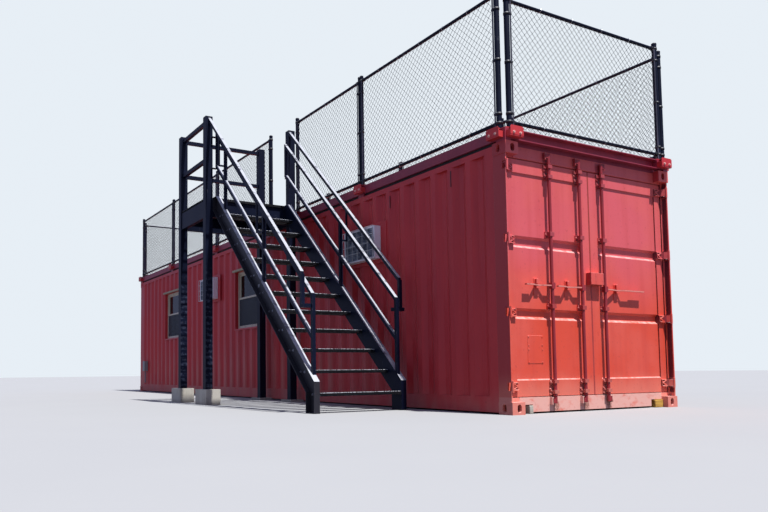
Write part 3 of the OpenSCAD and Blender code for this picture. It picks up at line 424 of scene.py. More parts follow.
NODE_FINISH = {
    end_paint: ["door_post_left", "door_post_right", "door_header", "door_sill", "left_door",
                "right_door"],
    side_paint: ["far_posts", "far_rails", "side_rails", "near_wall", "back_wall", "far_wall",
                 "roof_panel", "cross_members", "opening_linings", "post_brackets"],
    beam_paint_with_painted_shade: ["roof_beams"], rod_paint: ["lock_rod_1", "lock_rod_2", "lock_rod_3"],
    black_steel: [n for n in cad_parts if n.startswith("fence_")] + [
        "landing_frame", "landing_guards", "inner_stringer", "outer_guard", "inner_guard"],
    web_paint_with_painted_reflection: ["outer_stringer"],
    post_steel: ["landing_posts"],
    grating_steel: ["landing_grating", "stair_treads"],
    grey_concrete: ["footings"], floor_sheets: ["floor_deck"], almond: ["window_frames"],
    pane: ["window_glass"], case_enamel: ["wall_units"], white_wire: ["unit_cages"],
    box_enamel: ["meter_box"],
}
for finish, names in NODE_FINISH.items():
    for n in names:
        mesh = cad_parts[n].data
        mesh.materials.clear()
        mesh.materials.append(finish)


# Shapes ---------------------------------------------------------------

def turns(count, start=0.0, closed=False):
    """Angles that share out a full turn; closed repeats the first one at the end."""
    return [2 * math.pi * (k + start) / count for k in range(count + closed)]


class Shape:
    """A mesh under construction in the cabin's frame, from closed solids."""

    def __init__(self):
        self.points, self.faces = [], []

    def _take(self, points, faces):
        first = len(self.points)
        self.points += [Vector(p) for p in points]
        self.faces += [tuple(first + i for i in face) for face in faces]
        return self

    def _rings(self, points, sides):
        """A solid with flat ends from rings of points, one after another."""
        faces = []
        for a in range(len(points) - sides):
            b = a + 1 if (a + 1) % sides else a + 1 - sides
            faces.append([a, b, b + sides, a + sides])
        last = len(points) - 1
        return self._take(points, faces + [list(range(sides)), list(range(last, last - sides, -1))])

    def box(self, low, high, edge=0.0):
        """A box with its edges cut off by a small chamfer."""
        low, high = (Vector(map(min, low, high)), Vector(map(max, low, high)))
        if edge <= 0:
            rim = [(low.x, low.y), (high.x, low.y), (high.x, high.y), (low.x, high.y)]
            return self.prism(rim, 2, low.z, high.z)
        edge = min(edge, min(high - low) * 0.35)
        corners = [(i, j, k) for i in (0, 1) for j in (0, 1) for k in (0, 1)]
        points, at = [], {}
        for c in corners:
            for axis in range(3):
                at[c, axis] = len(points)
                points.append([(low, high)[c[a]][a] + (0 if a == axis else edge * (1 - 2 * c[a]))
                               for a in range(3)])
        faces = []
        for axis in range(3):
            u, v = [a for a in range(3) if a != axis]
            for s in (0, 1):
                ring = []
                for cu, cv in ((0, 0), (1, 0), (1, 1), (0, 1)):
                    c = [0, 0, 0]
                    c[axis], c[u], c[v] = s, cu, cv
                    ring.append(at[tuple(c), axis])
                faces.append(ring)
            for cu, cv in ((0, 0), (0, 1), (1, 0), (1, 1)):
                a, b = [0, 0, 0], [0, 0, 0]
                a[u] = b[u] = cu
                a[v] = b[v] = cv
                b[axis] = 1
                faces.append([at[tuple(a), u], at[tuple(b), u], at[tuple(b), v], at[tuple(a), v]])
        faces += [[at[c, 0], at[c, 1], at[c, 2]] for c in corners]
        return self._take(points, faces)

    def prism(self, outline, axis, start, end):
        """An outline in the plane of the other two axes, drawn out along an axis."""
        u, v = [a for a in range(3) if a != axis]
        points = []
        for level in (start, end):
            for p in outline:
                point = [0.0, 0.0, 0.0]
                point[axis], point[u], point[v] = level, p[0], p[1]
                points.append(point)
        n = len(outline)
        faces = [list(range(n)), list(range(2 * n - 1, n - 1, -1))]
        faces += [[i, (i + 1) % n, n + (i + 1) % n, n + i] for i in range(n)]
        return self._take(points, faces)

    def tube(self, path, radius, sides):
        """A round bar along a line of points."""
        path = [Vector(p) for p in path]
        heading = (path[1] - path[0]).normalized()
        beside = Vector((0.0, 0.0, 1.0) if abs(heading.z) < 0.95 else (1.0, 0.0, 0.0))
        across = heading.cross(beside).normalized()
        points = []
        for i, p in enumerate(path):
            before = (p - path[i - 1]).normalized() if i else (path[1] - p).normalized()
            after = (path[i + 1] - p).normalized() if i + 1 < len(path) else before
            tangent = (before + after).normalized()
            across = (across - tangent * across.dot(tangent)).normalized()
            side = tangent.cross(across)
            wide = radius / max(0.5, before.dot(tangent)) if 0 < i < len(path) - 1 else radius
            points += [p + (across * math.cos(t) + side * math.sin(t)) * wide
                       for t in turns(sides, 0.5)]
        return self._rings(points, sides)

    def turned(self, centre, profile, sides=16):
        """A solid turned about an upright line through centre, from (radius, height) pairs."""
        centre = Vector(centre)
        return self._rings([centre + Vector((r * math.cos(t), r * math.sin(t), h))
                            for r, h in profile for t in turns(sides)], sides)

    def frame(self, axis, at, low, high, width, edge):
        """A flat ring of four bars. axis is its thin axis, at its two faces, and low and high
        the outer corners in the other two axes."""
        u, v = [a for a in range(3) if a != axis]
        (u0, v0), (u1, v1) = low, high
        for bar in ((u0, v0, u1, v0 + width), (u0, v1 - width, u1, v1),
                    (u0, v0 + width, u0 + width, v1 - width),
                    (u1 - width, v0 + width, u1, v1 - width)):
            one, two = [0.0, 0.0, 0.0], [0.0, 0.0, 0.0]
            one[axis], two[axis] = at
            one[u], one[v], two[u], two[v] = bar
            self.box(one, two, edge)

    def other_side(self):
        other = Shape()
        return other._take([Vector((p.x, -p.y, p.z)) for p in self.points], self.faces)

    def piece(self, name, finish, body="root", slot=None, smooth=False):
        mesh = bpy.data.meshes.new(name)
        mesh.from_pydata([p + Vector((0, CABIN_Y, 0)) for p in self.points], [], self.faces)
        work = bmesh.new()
        work.from_mesh(mesh)
        bmesh.ops.recalc_face_normals(work, faces=work.faces)
        for face in work.faces:
            face.smooth = smooth
        work.to_mesh(mesh)
        work.free()
        return place(mesh, name, finish, body, slot)


def put(name, data):
    """A new object in the scene."""
    thing = bpy.data.objects.new(name, data)
    bpy.context.scene.collection.objects.link(thing)
    return thing


def place(mesh, name, finish, body="root", slot=None):
    """Puts a finished mesh in the scene, on its body."""
    mesh.name = name
    if not mesh.materials:
        mesh.materials.append(finish)
    piece = put(name, mesh)
    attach(piece, body)
    return piece


# Repeats --------------------------------------------------------------

def new_tree(name, **inputs):
    """A Geometry Nodes tree with named inputs, and the wires of those inputs."""
    tree = bpy.data.node_groups.new(name, "GeometryNodeTree")
    for label, kind in {"Geometry": "Geometry", **inputs, "Material": "Material"}.items():
        tree.interface.new_socket(name=label, in_out="INPUT", socket_type="NodeSocket" + kind)
    tree.interface.new_socket(name="Geometry", in_out="OUTPUT", socket_type="NodeSocketGeometry")
    return tree, add(tree, "NodeGroupInput")


def end_tree(tree, given, geometry):
    real = add(tree, "GeometryNodeRealizeInstances", {"Geometry": geometry})
    coated = add(tree, "GeometryNodeSetMaterial", {"Geometry": real, "Material": given["Material"]})
    add(tree, "NodeGroupOutput", {0: coated})
    return tree


def vector(tree, **axes):
    return add(tree, "ShaderNodeCombineXYZ", axes)


def moved(tree, shape, offset, **more):
    return add(tree, "GeometryNodeTransform", {"Geometry": shape, "Translation": offset, **more})


def joined(tree, *shapes):
    both = add(tree, "GeometryNodeJoinGeometry")
    for shape in shapes:
        tree.links.new(shape.socket, both.socket.node.inputs[0])
    return both


def aimed(tree, axis):
    """Turns the axis to each point's own direction."""
    facing = add(tree, "GeometryNodeInputNamedAttribute", {"Name": "facing"},
                 data_type="FLOAT_VECTOR")
    return add(tree, "FunctionNodeAlignRotationToVector", {"Vector": facing}, axis=axis)


def placed(tree, points, thing, **more):
    return add(tree, "GeometryNodeInstanceOnPoints", {"Points": points, "Instance": thing, **more})


def link_mesh_tree():
    """Chain link: upright wires bent to and fro, each one turned round against its neighbour."""
    tree, given = new_tree("link_mesh", Width="Float", Height="Float", Diamond="Float",
                           Wire="Float")
    half = given["Diamond"] * 0.5
    index = add(tree, "GeometryNodeInputIndex")
    line = add(tree, "GeometryNodeMeshLine", {"Count": given["Height"] / half + 1.0,
                                              "Offset": vector(tree, Z=half)}, mode="OFFSET")
    sway = vector(tree, X=(index % 2.0 - 0.5) * (half + given["Wire"]))
    bent = add(tree, "GeometryNodeSetPosition", {"Geometry": line, "Offset": sway})
    path = add(tree, "GeometryNodeMeshToCurve", {0: bent})
    section = add(tree, "GeometryNodeCurvePrimitiveCircle",
                  {"Resolution": 4, "Radius": given["Wire"] * 0.5})
    wire = add(tree, "GeometryNodeCurveToMesh",
               {"Curve": path, "Profile Curve": section, "Fill Caps": True})
    row = add(tree, "GeometryNodeMeshLine",
              {"Count": given["Width"] / half, "Start Location": vector(tree, X=half * 0.5),
               "Offset": vector(tree, X=half)}, mode="OFFSET")
    turn = vector(tree, Z=(index % 2.0) * math.pi)
    return end_tree(tree, given, placed(tree, row, wire, Rotation=turn))


def bolt_tree():
    """A hexagon head on a washer at every point, facing along the point's own direction."""
    tree, given = new_tree("bolts", Head="Float", Height="Float", Washer="Float", Seed="Int")
    head = add(tree, "GeometryNodeMeshCylinder", {"Vertices": 6, "Radius": given["Head"],
                                                  "Depth": given["Height"]})
    head = moved(tree, head, vector(tree, Z=given["Height"] * 0.5 + 0.002))
    washer = add(tree, "GeometryNodeMeshCylinder", {"Vertices": 12, "Radius": given["Washer"],
                                                    "Depth": 0.004})
    angle = add(tree, "FunctionNodeRandomValue", {2: 0.0, 3: math.pi / 3, "Seed": given["Seed"]}, 1,
                data_type="FLOAT")
    spin = add(tree, "FunctionNodeAxisAngleToRotation", {"Axis": (0, 0, 1), "Angle": angle})
    turned = add(tree, "FunctionNodeRotateRotation", {0: aimed(tree, "Z"), 1: spin},
                 rotation_space="LOCAL")
    return end_tree(tree, given, placed(tree, given, joined(tree, head, washer), Rotation=turned))


def band_tree():
    """A flat band round an upright post at every point, its bolted lug along the point's
    direction."""
    tree, given = new_tree("bands", Radius="Float", Height="Float", Thickness="Float")
    section = add(tree, "GeometryNodeCurvePrimitiveQuadrilateral",
                  {"Width": given["Thickness"], "Height": given["Height"]}, mode="RECTANGLE")
    hoop = add(tree, "GeometryNodeCurvePrimitiveCircle",
               {"Resolution": 20, "Radius": given["Radius"]})
    hoop = add(tree, "GeometryNodeCurveToMesh", {"Curve": hoop, "Profile Curve": section})
    lug_size = vector(tree, X=0.024, Y=0.010, Z=given["Height"])
    lug = add(tree, "GeometryNodeMeshCube", {"Size": lug_size})
    out = vector(tree, X=given["Radius"] + 0.010)
    lug = moved(tree, lug, out)
    nut = add(tree, "GeometryNodeMeshCylinder", {"Vertices": 6, "Radius": 0.007, "Depth": 0.026})
    nut = moved(tree, nut, out, Rotation=(math.pi / 2, 0, 0))
    band = joined(tree, hoop, lug, nut)
    return end_tree(tree, given, placed(tree, given, band, Rotation=aimed(tree, "X")))


def slat_tree():
    """A row of slats that starts at every point."""
    tree, given = new_tree("slats", Count="Int", Step="Vector", Size="Vector")
    row = add(tree, "GeometryNodeMeshLine", {"Count": given["Count"], "Offset": given["Step"]},
              mode="OFFSET")
    slat = add(tree, "GeometryNodeMeshCube", {"Size": given["Size"]})
    return end_tree(tree, given, placed(tree, given, placed(tree, row, slat)))


LINKS, BOLTS, BANDS, SLATS = link_mesh_tree(), bolt_tree(), band_tree(), slat_tree()


def repeat(name, tree, points, sizes, finish, body="root", slot=None, facing=None, turn=None):
    """Runs a tree on some points and keeps the result as a plain mesh on a body."""
    base = bpy.data.meshes.new(name + "_points")
    base.from_pydata([tuple(p) for p in points], [], [])
    if facing:
        attribute = base.attributes.new("facing", "FLOAT_VECTOR", "POINT")
        attribute.data.foreach_set("vector", [c for f in facing for c in f])
    maker = put(name + "_maker", base)
    step = maker.modifiers.new("repeat", "NODES")
    step.node_group = tree
    values = {**sizes, "Material": finish}
    for item in tree.interface.items_tree:
        if item.in_out == "INPUT" and item.name in values:
            step[item.identifier] = values[item.name]
    seen = maker.evaluated_get(bpy.context.evaluated_depsgraph_get())
    mesh = bpy.data.meshes.new_from_object(seen)
    maker.modifiers.remove(step)
    bpy.data.objects.remove(maker)
    mesh.transform(Matrix.Translation((0, CABIN_Y, 0)) @ (turn or Matrix.Identity(4)))
    return place(mesh, name, finish, body, slot)


def slats(name, starts, count, step, size, finish, slot=None):
    return repeat(name, SLATS, starts, {"Count": count, "Step": step, "Size": size}, finish,
                  slot=slot)


def bolts(name, places, head, height, washer, finish, body="root", slot=None, seed=1):
    """Bolts at (point, direction) pairs; head and washer are radii."""
    return repeat(name, BOLTS, [p for p, _ in places],
                  {"Head": head, "Height": height, "Washer": washer, "Seed": seed},
                  finish, body, slot, facing=[d for _, d in places])


# Fence ----------------------------------------------------------------

BEAM_MID, END_MID, END_Y = HALF_W - 0.0375, HALF_L - 0.0375, 1.122
POST_X = 5.986
LINE_R, CORNER_R, RAIL_R = 0.022, 0.027, 0.018
DIAMOND, WIRE = 0.0710, 0.0046
MESH_Z, MESH_GAP = DECK + 0.012, 0.006
NEAR_TOP, END_TOP, BACK_TOP = 4.111, 4.036, 3.958
BAND_LEVELS = (0.118, 0.500, 0.862)  # shares of a post's height
TIE_STEP = 0.38


class Panel:
    """A fence panel: its two ends and its outward direction in plan, the top of its posts and
    the posts' radii."""

    def __init__(self, name, start, end, out, top, posts):
        self.name, self.out, self.top, self.posts = name, Vector(out), top, posts
        self.start, self.along = Vector(start), (Vector(end) - Vector(start)).normalized()
        self.length = (Vector(end) - Vector(start)).length
        self.rails = (DECK + 0.075, top - 0.045)

    def at(self, along, out, z):
        return Vector((*(self.start + self.along * along + self.out * out), z))

    def ends(self):
        """Each post: its place along the panel, the way from it into the panel, its radius."""
        return (0.0, 1, self.posts[0]), (self.length, -1, self.posts[1])


def run_of_panels(name, side, top, corners, ends):
    """The panels of a long side, each from one X to another; posts at the corners are wider."""
    y = side * BEAM_MID
    return [Panel(f"{name}_{k + 1}", (a, y), (b, y), (0, side), top,
                  [CORNER_R if x in corners else LINE_R for x in (a, b)])
            for k, (a, b) in enumerate(ends)]


PANELS = run_of_panels(
    "near", -1, NEAR_TOP, (-POST_X, 1.000, 1.885, POST_X),
    [(-POST_X, -3.774), (-3.726, -1.264), (-1.216, 1.000), (1.885, 3.556), (3.604, POST_X)])
PANELS += run_of_panels(
    "back", 1, BACK_TOP, (-POST_X, END_MID),
    [(-POST_X, -3.774), (-3.726, -1.264), (-1.216, 1.176), (1.224, 3.576), (3.624, END_MID)])
PANELS += [Panel(name, (side * END_MID, -END_Y), (side * END_MID, END_Y), (side, 0), END_TOP,
                 (CORNER_R, CORNER_R)) for name, side in (("door_end", 1), ("far_end", -1))]

bands = {LINE_R: ([], []), CORNER_R: ([], [])}
bars, caps, cups, ties = Shape(), Shape(), Shape(), Shape()
for panel in PANELS:
    first, last = panel.posts[0] + MESH_GAP, panel.length - panel.posts[1] - MESH_GAP
    corner = Matrix.Translation(panel.at(first, RAIL_R + MESH_GAP, MESH_Z))
    heading = Matrix.Rotation(math.atan2(panel.along.y, panel.along.x), 4, "Z")
    repeat("link_mesh_" + panel.name, LINKS, [(0, 0, 0)],
           {"Width": last - first, "Height": panel.rails[1] - MESH_Z, "Diamond": DIAMOND,
            "Wire": WIRE}, mesh_coat, slot="black_paint", turn=corner @ heading)
    # bands and flat bars that hold the mesh to each post, domed caps, and cups on the rails' ends
    levels = [*panel.rails, *(DECK + share * (panel.top - DECK) for share in BAND_LEVELS)]
    for x, way, r in panel.ends():
        at, facing = bands[r]
        at += [panel.at(x, 0, z) for z in levels]
        facing += [(*(panel.along * way + panel.out * 0.5), 0)] * len(levels)
        bars.box(panel.at(x + way * (r - 0.004), 0.017, MESH_Z),
                 panel.at(x + way * (r + 0.013), 0.025, panel.rails[1]), 0.002)
        caps.turned(panel.at(x, 0, panel.top + 0.010),
                    [(r + 0.0018, 0), (r + 0.0016, 0.004), (r * 0.86, 0.011), (r * 0.5, 0.016),
                     (0.004, 0.018)])
        for z in panel.rails:
            cups.tube([panel.at(x + way * along, 0, z) for along in (r - 0.006, r + 0.042)],
                      RAIL_R + 0.004, 12)
    # wire ties along the rails
    count = int(panel.length / TIE_STEP)
    for k in range(1, count):
        x = panel.length * k / count
        for z in panel.rails:
            ties.tube([panel.at(x + 0.004 * math.sin(t), 0.024 * math.cos(t) + 0.003,
                                z + 0.022 * math.sin(t)) for t in turns(10, closed=True)],
                      0.0022, 4)
for label, (r, (at, facing)) in zip(("line", "corner"), bands.items()):
    sizes = {"Radius": r + 0.002, "Height": 0.022, "Thickness": 0.004}
    repeat(f"{label}_post_bands", BANDS, at, sizes, mesh_coat, slot="black_paint", facing=facing)
bars.piece("tension_bars", bar_coat_with_painted_highlights, slot="black_paint")
caps.piece("post_caps", mesh_coat, slot="black_paint", smooth=True)
cups.piece("rail_cups", mesh_coat, slot="black_paint")
ties.piece("rail_ties", zinc, slot="black_paint")


# Cargo doors ----------------------------------------------------------

# X of the straps' relief and bolts, and of the fronts of the cams' plates and of both guides
RELIEF_X, STRAP_X, PLATE_X, GUIDE_X, SMALL_GUIDE_X = 6.0242, 6.025, 6.0215, 6.029, 6.020
END_GUIDES = (0, 3)  # the large ones of the four on a rod
AHEAD = (1, 0, 0)


def leaf_seal():
    """Rubber lip round a leaf, and the strip along its free edge."""
    s = Shape()
    z0, z1 = LEAF_Z
    s.frame(0, (5.990, 6.006), (0.008, z0 - 0.005), (LEAF_EDGE + 0.005, z1 + 0.005), 0.012, 0.002)
    s.box((5.962, 0.0010, z0), (6.017, 0.0110, z1), 0.002)
    return s


def hinge_plates():
    """Pressed relief on the hinge straps of the right leaf: a rim, crossed ribs and a lower lip."""
    s, h = Shape(), 0.037
    for z in HINGE_Z:
        s.frame(0, (6.023, 6.031), (1.069, z - h), (1.151, z + h), 0.007, 0.002)
        s.box((6.024, 1.104, z - h), (6.034, 1.113, z + h), 0.002)
        for end in (z - h * 0.92, z + h * 0.92):
            s.prism([(1.074, z), (1.090, z), (1.150, end), (1.136, end)], 0, RELIEF_X, 6.036)
        s.prism([(6.023, z - h - 0.002), (6.040, z - h - 0.002), (6.040, z - h + 0.005),
                 (6.023, z - h + 0.010)], 1, 1.070, 1.150)
    return s


def hinge_holes():
    """Dark discs, painted shade that stands for the holes of the straps."""
    s, r = Shape(), 0.0065
    for z in HINGE_Z:
        for y, dz in ((1.092, 0.021), (1.092, -0.021), (1.128, 0.001)):
            rim = [(y + r * math.cos(t), z + dz + r * math.sin(t)) for t in turns(10, 0.5)]
            s.prism(rim, 0, RELIEF_X, RELIEF_X + 0.002)
    return s


def gear_plates(rods):
    """Mounting plates on the leaf behind the cams, and washers round the guides' ends."""
    s = Shape()
    for y in rods:
        for z in (0.168, 2.372):
            s.box((PLATE_X - 0.006, y - 0.052, z), (PLATE_X, y + 0.052, z + 0.072), 0.002)
        for k in END_GUIDES:
            for z in (GUIDE_Z[k] - 0.040, GUIDE_Z[k] + 0.040):
                s.box((GUIDE_X - 0.009, y - 0.046, z - 0.022),
                      (GUIDE_X, y + 0.046, z + 0.022), 0.003)
    return s


HINGE_BOLTS = [(STRAP_X, y, z + dz) for z in HINGE_Z
               for y, dz in ((1.128, 0.024), (1.128, -0.024), (1.082, 0.0))]
for label, side in (("right", 1), ("left", -1)):
    body = label + "_door"
    for name, shape, finish, slot in (("leaf_seal", leaf_seal(), seal_paint, None),
                                      ("hinge_ribs", hinge_plates(), end_paint, "red_paint"),
                                      ("hinge_holes", hinge_holes(), dark_gap, None)):
        own = shape if label == "right" else shape.other_side()
        own.piece(f"{name}_{label}", finish, body, slot)
    rods = [y for y, owner in zip(ROD_Y, ROD_BODY) if owner == body]
    gear_plates(rods).piece(f"gear_plates_{label}", end_paint, body, "red_paint")
    places = [(x, side * y, z) for x, y, z in HINGE_BOLTS]
    for y in rods:
        places += [(PLATE_X, y + dy, z)
                   for dy in (-0.042, 0.042) for z in (0.180, 0.228, 2.384, 2.432)]
        for k, z in enumerate(GUIDE_Z):
            if k in END_GUIDES:
                places += [(GUIDE_X, y + dy, z + dz)
                           for dy in (-0.036, 0.036) for dz in (-0.040, 0.040)]
            else:
                places += [(SMALL_GUIDE_X, y + dy, z) for dy in (-0.034, 0.034)]
    bolts(f"door_bolts_{label}", [(p, AHEAD) for p in places], 0.0085, 0.008, 0.011, end_paint,
          body, "red_paint")

# rings that hang on the handle retainers
for label, spots in (("left", [y - 0.180 for y in ROD_Y[:2]]), ("right", [ROD_Y[2] + 0.215])):
    rings = Shape()
    for y in spots:
        rings.tube([(6.032, y + 0.014 * math.sin(t), RING_Z + 0.019 * math.cos(t))
                    for t in turns(14, 0.001, closed=True)], 0.0035, 6)
    rings.piece(f"retainer_rings_{label}", end_paint, label + "_door", "red_paint", smooth=True)

# riveted patch on the left leaf
patch = Shape()
patch.box((PANEL_X - 0.001, -0.910, 0.478), (PANEL_X + 0.003, -0.705, 0.748), 0.001)
patch.piece("leaf_patch", end_paint, "left_door", "red_paint")
rivets = [((PANEL_X + 0.003, y, z), AHEAD)
          for y in (-0.898, -0.717) for z in (0.490, 0.613, 0.656, 0.736)]
bolts("patch_rivets", rivets, 0.005, 0.003, 0.006, end_paint, "left_door", "red_paint", seed=7)

# front of the lock box, one half on each leaf
for body, ends in (("left_door", (LOCK_Y[0], -0.001)), ("right_door", (0.001, LOCK_Y[1]))):
    cover = Shape()
    cover.box((LOCK_X - 0.001, ends[0], LOCK_Z[0]), (LOCK_X + 0.003, ends[1], LOCK_Z[1]), 0.002)
    cover.piece("lock_cover_" + body, end_paint, body, "red_paint")


# Brackets of the fence ------------------------------------------------

BRACKET_OUT, BRACKET_BOLT_Z = 0.0605, BEAM + 0.045
BRACKETS = ((-1, (-POST_X, -3.712, -1.202, 1.038, 1.923, 3.618, POST_X)),
            (1, (-POST_X, -3.750, -1.240, 1.200, 3.600, POST_X)))

bracket_bolts, faces = [], Shape()


def bracket_face(middle, axis, front, side):
    """A square plate with small cut corners on the front of a bracket."""
    low, top, cut = BEAM + 0.022, DECK + 0.010, 0.014
    left, right = middle - 0.085, middle + 0.085
    faces.prism([(left, low), (right, low), (right, top - cut), (right - cut, top),
                 (left + cut, top), (left, top - cut)], axis, front - side * 0.003, front)


for side, xs in BRACKETS:
    front = side * (HALF_W + BRACKET_OUT)
    for x in xs:
        bracket_face(x, 1, front, side)
        bracket_bolts += [((x + dx, front, BRACKET_BOLT_Z), (0, side, 0)) for dx in (-0.042, 0.042)]
for side in (-1, 1):
    front = side * (HALF_L + BRACKET_OUT)
    for y in (-END_Y, END_Y):
        bracket_face(y, 0, front, side)
        bracket_bolts += [((front, y + dy, BRACKET_BOLT_Z), (side, 0, 0)) for dy in (-0.042, 0.042)]
faces.piece("bracket_faces", side_paint, slot="red_paint")
bolts("bracket_bolts", bracket_bolts, 0.011, 0.009, 0.015, dusty_red, slot="red_paint", seed=3)


# Stair ----------------------------------------------------------------

TREAD_ENDS = (WEB_OUT + 0.006, WEB_IN - 0.006)

tread_bolts, bar_starts, tooth_starts, nosings, edges = [], [], [], Shape(), Shape()
for k in range(1, TREADS + 1):
    x, z = NOSE_X + k * RUN, LAND_Z - k * RISE - TREAD_DROP
    for y, way in ((WEB_OUT - 0.008, -1), (WEB_IN + 0.008, 1)):
        tread_bolts += [((x - dx, y, z - 0.016), (0, way, 0)) for dx in (0.045, 0.135)]
    bar_starts.append((x - 0.107, WEB_OUT + 0.10, z - 0.004))
    tooth_starts.append((x - 0.003, WEB_OUT + 0.012, z + 0.001))
    # top and front of the nosing, and its pale edge: wear and painted highlight
    for shape, x0, z0, x1, z1 in ((nosings, -0.034, -0.001, 0.001, 0.002),
                                  (nosings, -0.001, -0.026, 0.002, -0.001),
                                  (edges, -0.006, -0.0015, 0.003, 0.0035)):
        shape.box((x + x0, TREAD_ENDS[0], z + z0), (x + x1, TREAD_ENDS[1], z + z1), 0.001)
bolts("tread_bolts", tread_bolts, 0.010, 0.008, 0.014, dull_zinc, slot="black_paint", seed=5)
slats("tread_rods", bar_starts, 9, (0, 0.1005, 0), (0.140, 0.007, 0.007), grating_steel, "grating")
slats("tread_teeth", tooth_starts, 62, (0, 0.016, 0), (0.008, 0.008, 0.006), grating_steel,
      "grating")
nosings.piece("tread_nosings", grating_steel, slot="grating")
edges.piece("tread_edges", bright_edge, slot="grating")

plate = Shape()
plate.box((3.311, -2.4935, 1.418), (3.347, -2.489, 1.454), 0.001)
plate.piece("stringer_plate", zinc)


# Windows and wall units -----------------------------------------------

BAR = 0.038  # bars of the window frame
SURROUND_Y = (-WALL_Y - 0.008, -WALL_Y + 0.001)

sashes, screens, trims, heads = Shape(), Shape(), Shape(), Shape()
w, h = WINDOW
z0, z1, mid = WINDOW_Z, WINDOW_Z + h, WINDOW_Z + h / 2 + 0.025
front, sill, head = -HALF_W + WINDOW_IN, z0 + BAR - 0.002, z1 - BAR + 0.002
for x in WINDOW_X:
    left, right = x + BAR - 0.002, x + w - BAR + 0.002
    # sashes inside the frame, the lower one in front, and the latch between them
    sashes.frame(1, (front + 0.006, front + 0.026), (left, sill), (right, mid + 0.014),
                 0.030, 0.002)
    sashes.frame(1, (front + 0.024, front + 0.042), (left, mid - 0.014), (right, head),
                 0.028, 0.002)
    sashes.box((x + w / 2 - 0.03, front - 0.002, mid - 0.004),
               (x + w / 2 + 0.03, front + 0.005, mid + 0.012), 0.002)
    # insect screen over the lower half, in its own frame
    sashes.frame(1, (front - 0.004, front + 0.003), (left - 0.004, sill - 0.004),
                 (right + 0.004, mid + 0.006), 0.016, 0.002)
    screens.box((left + 0.010, front - 0.0005, sill + 0.010),
                (right - 0.010, front + 0.0005, mid - 0.008))
    trims.frame(1, SURROUND_Y, (x - 0.030, z0 - 0.030), (x + w + 0.030, z1 + 0.030), 0.026, 0.001)
    heads.box((x - 0.062, -HALF_W - 0.030, z1 + 0.0035),
              (x + w + 0.062, -HALF_W + 0.001, z1 + 0.041), 0.002)
w, h = UNIT
for x in UNIT_X:
    trims.frame(1, SURROUND_Y, (x - 0.050, UNIT_Z - 0.050),
                (x + w + 0.050, UNIT_Z + h + 0.050), 0.046, 0.001)
    # plate over the rest of the opening
    trims.box((x + w + 0.048, SURROUND_Y[0], UNIT_Z - 0.040),
              (x + w + 0.120, SURROUND_Y[1], UNIT_Z + h + 0.040), 0.001)
sashes.piece("window_sashes", almond, slot="window_frame")
screens.piece("window_screens", screen_weave)
trims.piece("opening_surrounds", side_paint, slot="red_paint")
heads.piece("window_flashings", flashing)

unit_y = -HALF_W - UNIT_OUT
slats("coil_fins", [(x + 0.030, unit_y + 0.009, UNIT_Z + h / 2) for x in UNIT_X],
      77, (0.008, 0, 0), (0.0012, 0.010, h - 0.044), coil_metal)
slats("coil_tubes", [(x + w / 2, unit_y + 0.009, UNIT_Z + 0.036) for x in UNIT_X],
      13, (0, 0, 0.0265), (w - 0.05, 0.006, 0.008), coil_metal)
case_sides = [x + e for x in UNIT_X for e in (0.001, w - 0.001)]
slats("case_louvres", [(x, unit_y + 0.052, UNIT_Z + 0.050) for x in case_sides],
      12, (0, 0, 0.026), (0.008, 0.060, 0.010), case_enamel, "unit_case")


# Walls and sill -------------------------------------------------------

strips, slots, block, stone = Shape(), Shape(), Shape(), Shape()
# painted shade: a dark strip in the gap between the side beams and the top rails
for side in (-1, 1):
    strips.box((-5.910, side * 1.1875, 2.576), (5.910, side * 1.1900, 2.6105))
# painted shade: dark slits that stand for the vent slots high in the near wall
for x0, x1, z0, z1 in ((5.294, 5.306, 2.318, 2.486), (4.209, 4.221, 2.320, 2.461)):
    slots.box((x0, -WALL_Y - 0.003, z0), (x1, -WALL_Y + 0.001, z1), 0.001)
# loose blocks under the door sill
block.box((5.965, 0.925, 0.0), (6.040, 1.055, 0.082), 0.004)
stone.box((5.975, -0.930, 0.0), (6.030, -0.882, 0.078), 0.004)
strips.piece("beam_gap_shade", dark_gap)
slots.piece("vent_slots", dark_gap)
block.piece("sill_block", ochre_wood)
stone.piece("sill_stone", grey_concrete)


# Floor, light and camera ----------------------------------------------

FLOOR = 90.0  # half the floor's width
# the camera that was solved from the container's edges, in pixels
PHOTO_W, PHOTO_H, FOCAL, CENTRE = 768, 512, 719.886, (316.461, 323.408)


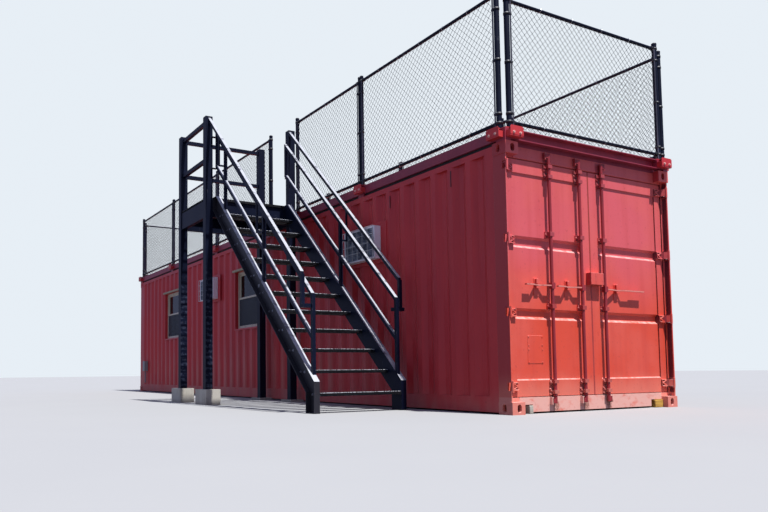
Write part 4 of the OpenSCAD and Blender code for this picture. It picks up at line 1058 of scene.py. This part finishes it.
def stage_floor():
    """A pale floor that throws back less light than it shows."""
    f = Finish("studio_floor", (0.12, 0.12, 0.12, 1))
    pale = f.mix(f.noise(0.6, 3.0), (0.33, 0.33, 0.33, 1), (0.35, 0.35, 0.345, 1))
    f.lay(f.add("LightPath", out="Is Camera Ray"), pale)
    mesh = bpy.data.meshes.new("floor")
    corners = [(x * FLOOR, y * FLOOR, 0) for x, y in ((-1, -1), (1, -1), (1, 1), (-1, 1))]
    mesh.from_pydata(corners, [], [(0, 1, 2, 3)])
    mesh.materials.append(f.done(0.9, specular=0.1))
    floor = put("floor", mesh)


def sun(name, direction, strength, angle):
    lamp = bpy.data.lights.new(name, "SUN")
    lamp.energy, lamp.angle = strength, math.radians(angle)
    holder = put(name, lamp)
    holder.rotation_mode = "QUATERNION"
    holder.rotation_quaternion = Vector(direction).to_track_quat("Z", "Y")


stage_floor()
sun("key_light", (1.0, 0.2, 2.6), 6.3, 1.0)

world = bpy.data.worlds.new("studio")
world.use_nodes = True
tree = world.node_tree
tree.nodes.clear()
seen = add(tree, "ShaderNodeLightPath", out="Is Camera Ray")
plain = add(tree, "ShaderNodeBackground", {"Color": (0.52, 0.60, 1.0, 1), "Strength": 0.50})
pale = add(tree, "ShaderNodeBackground", {"Color": (0.80, 0.86, 0.92, 1), "Strength": 1.0})
sky = add(tree, "ShaderNodeMixShader", {0: seen, 1: plain, 2: pale})
add(tree, "ShaderNodeOutputWorld", {"Surface": sky})
bpy.context.scene.world = world

lens = bpy.data.cameras.new("camera")
lens.sensor_width, lens.lens = 36.0, 36.0 * FOCAL / PHOTO_W
lens.shift_x = (PHOTO_W / 2 - CENTRE[0]) / PHOTO_W
lens.shift_y = (CENTRE[1] - PHOTO_H / 2) / PHOTO_W
lens.clip_end = 500.0
camera = put("camera", lens)
camera.matrix_world = Matrix(((0.493669, 0.062627, 0.867392, 11.0015),
                              (0.869594, -0.024297, -0.493169, CABIN_Y - 6.0769),
                              (-0.009811, 0.997741, -0.066455, 0.4231),
                              (0, 0, 0, 1)))
bpy.context.scene.camera = camera
bpy.context.scene.view_settings.view_transform = "Standard"
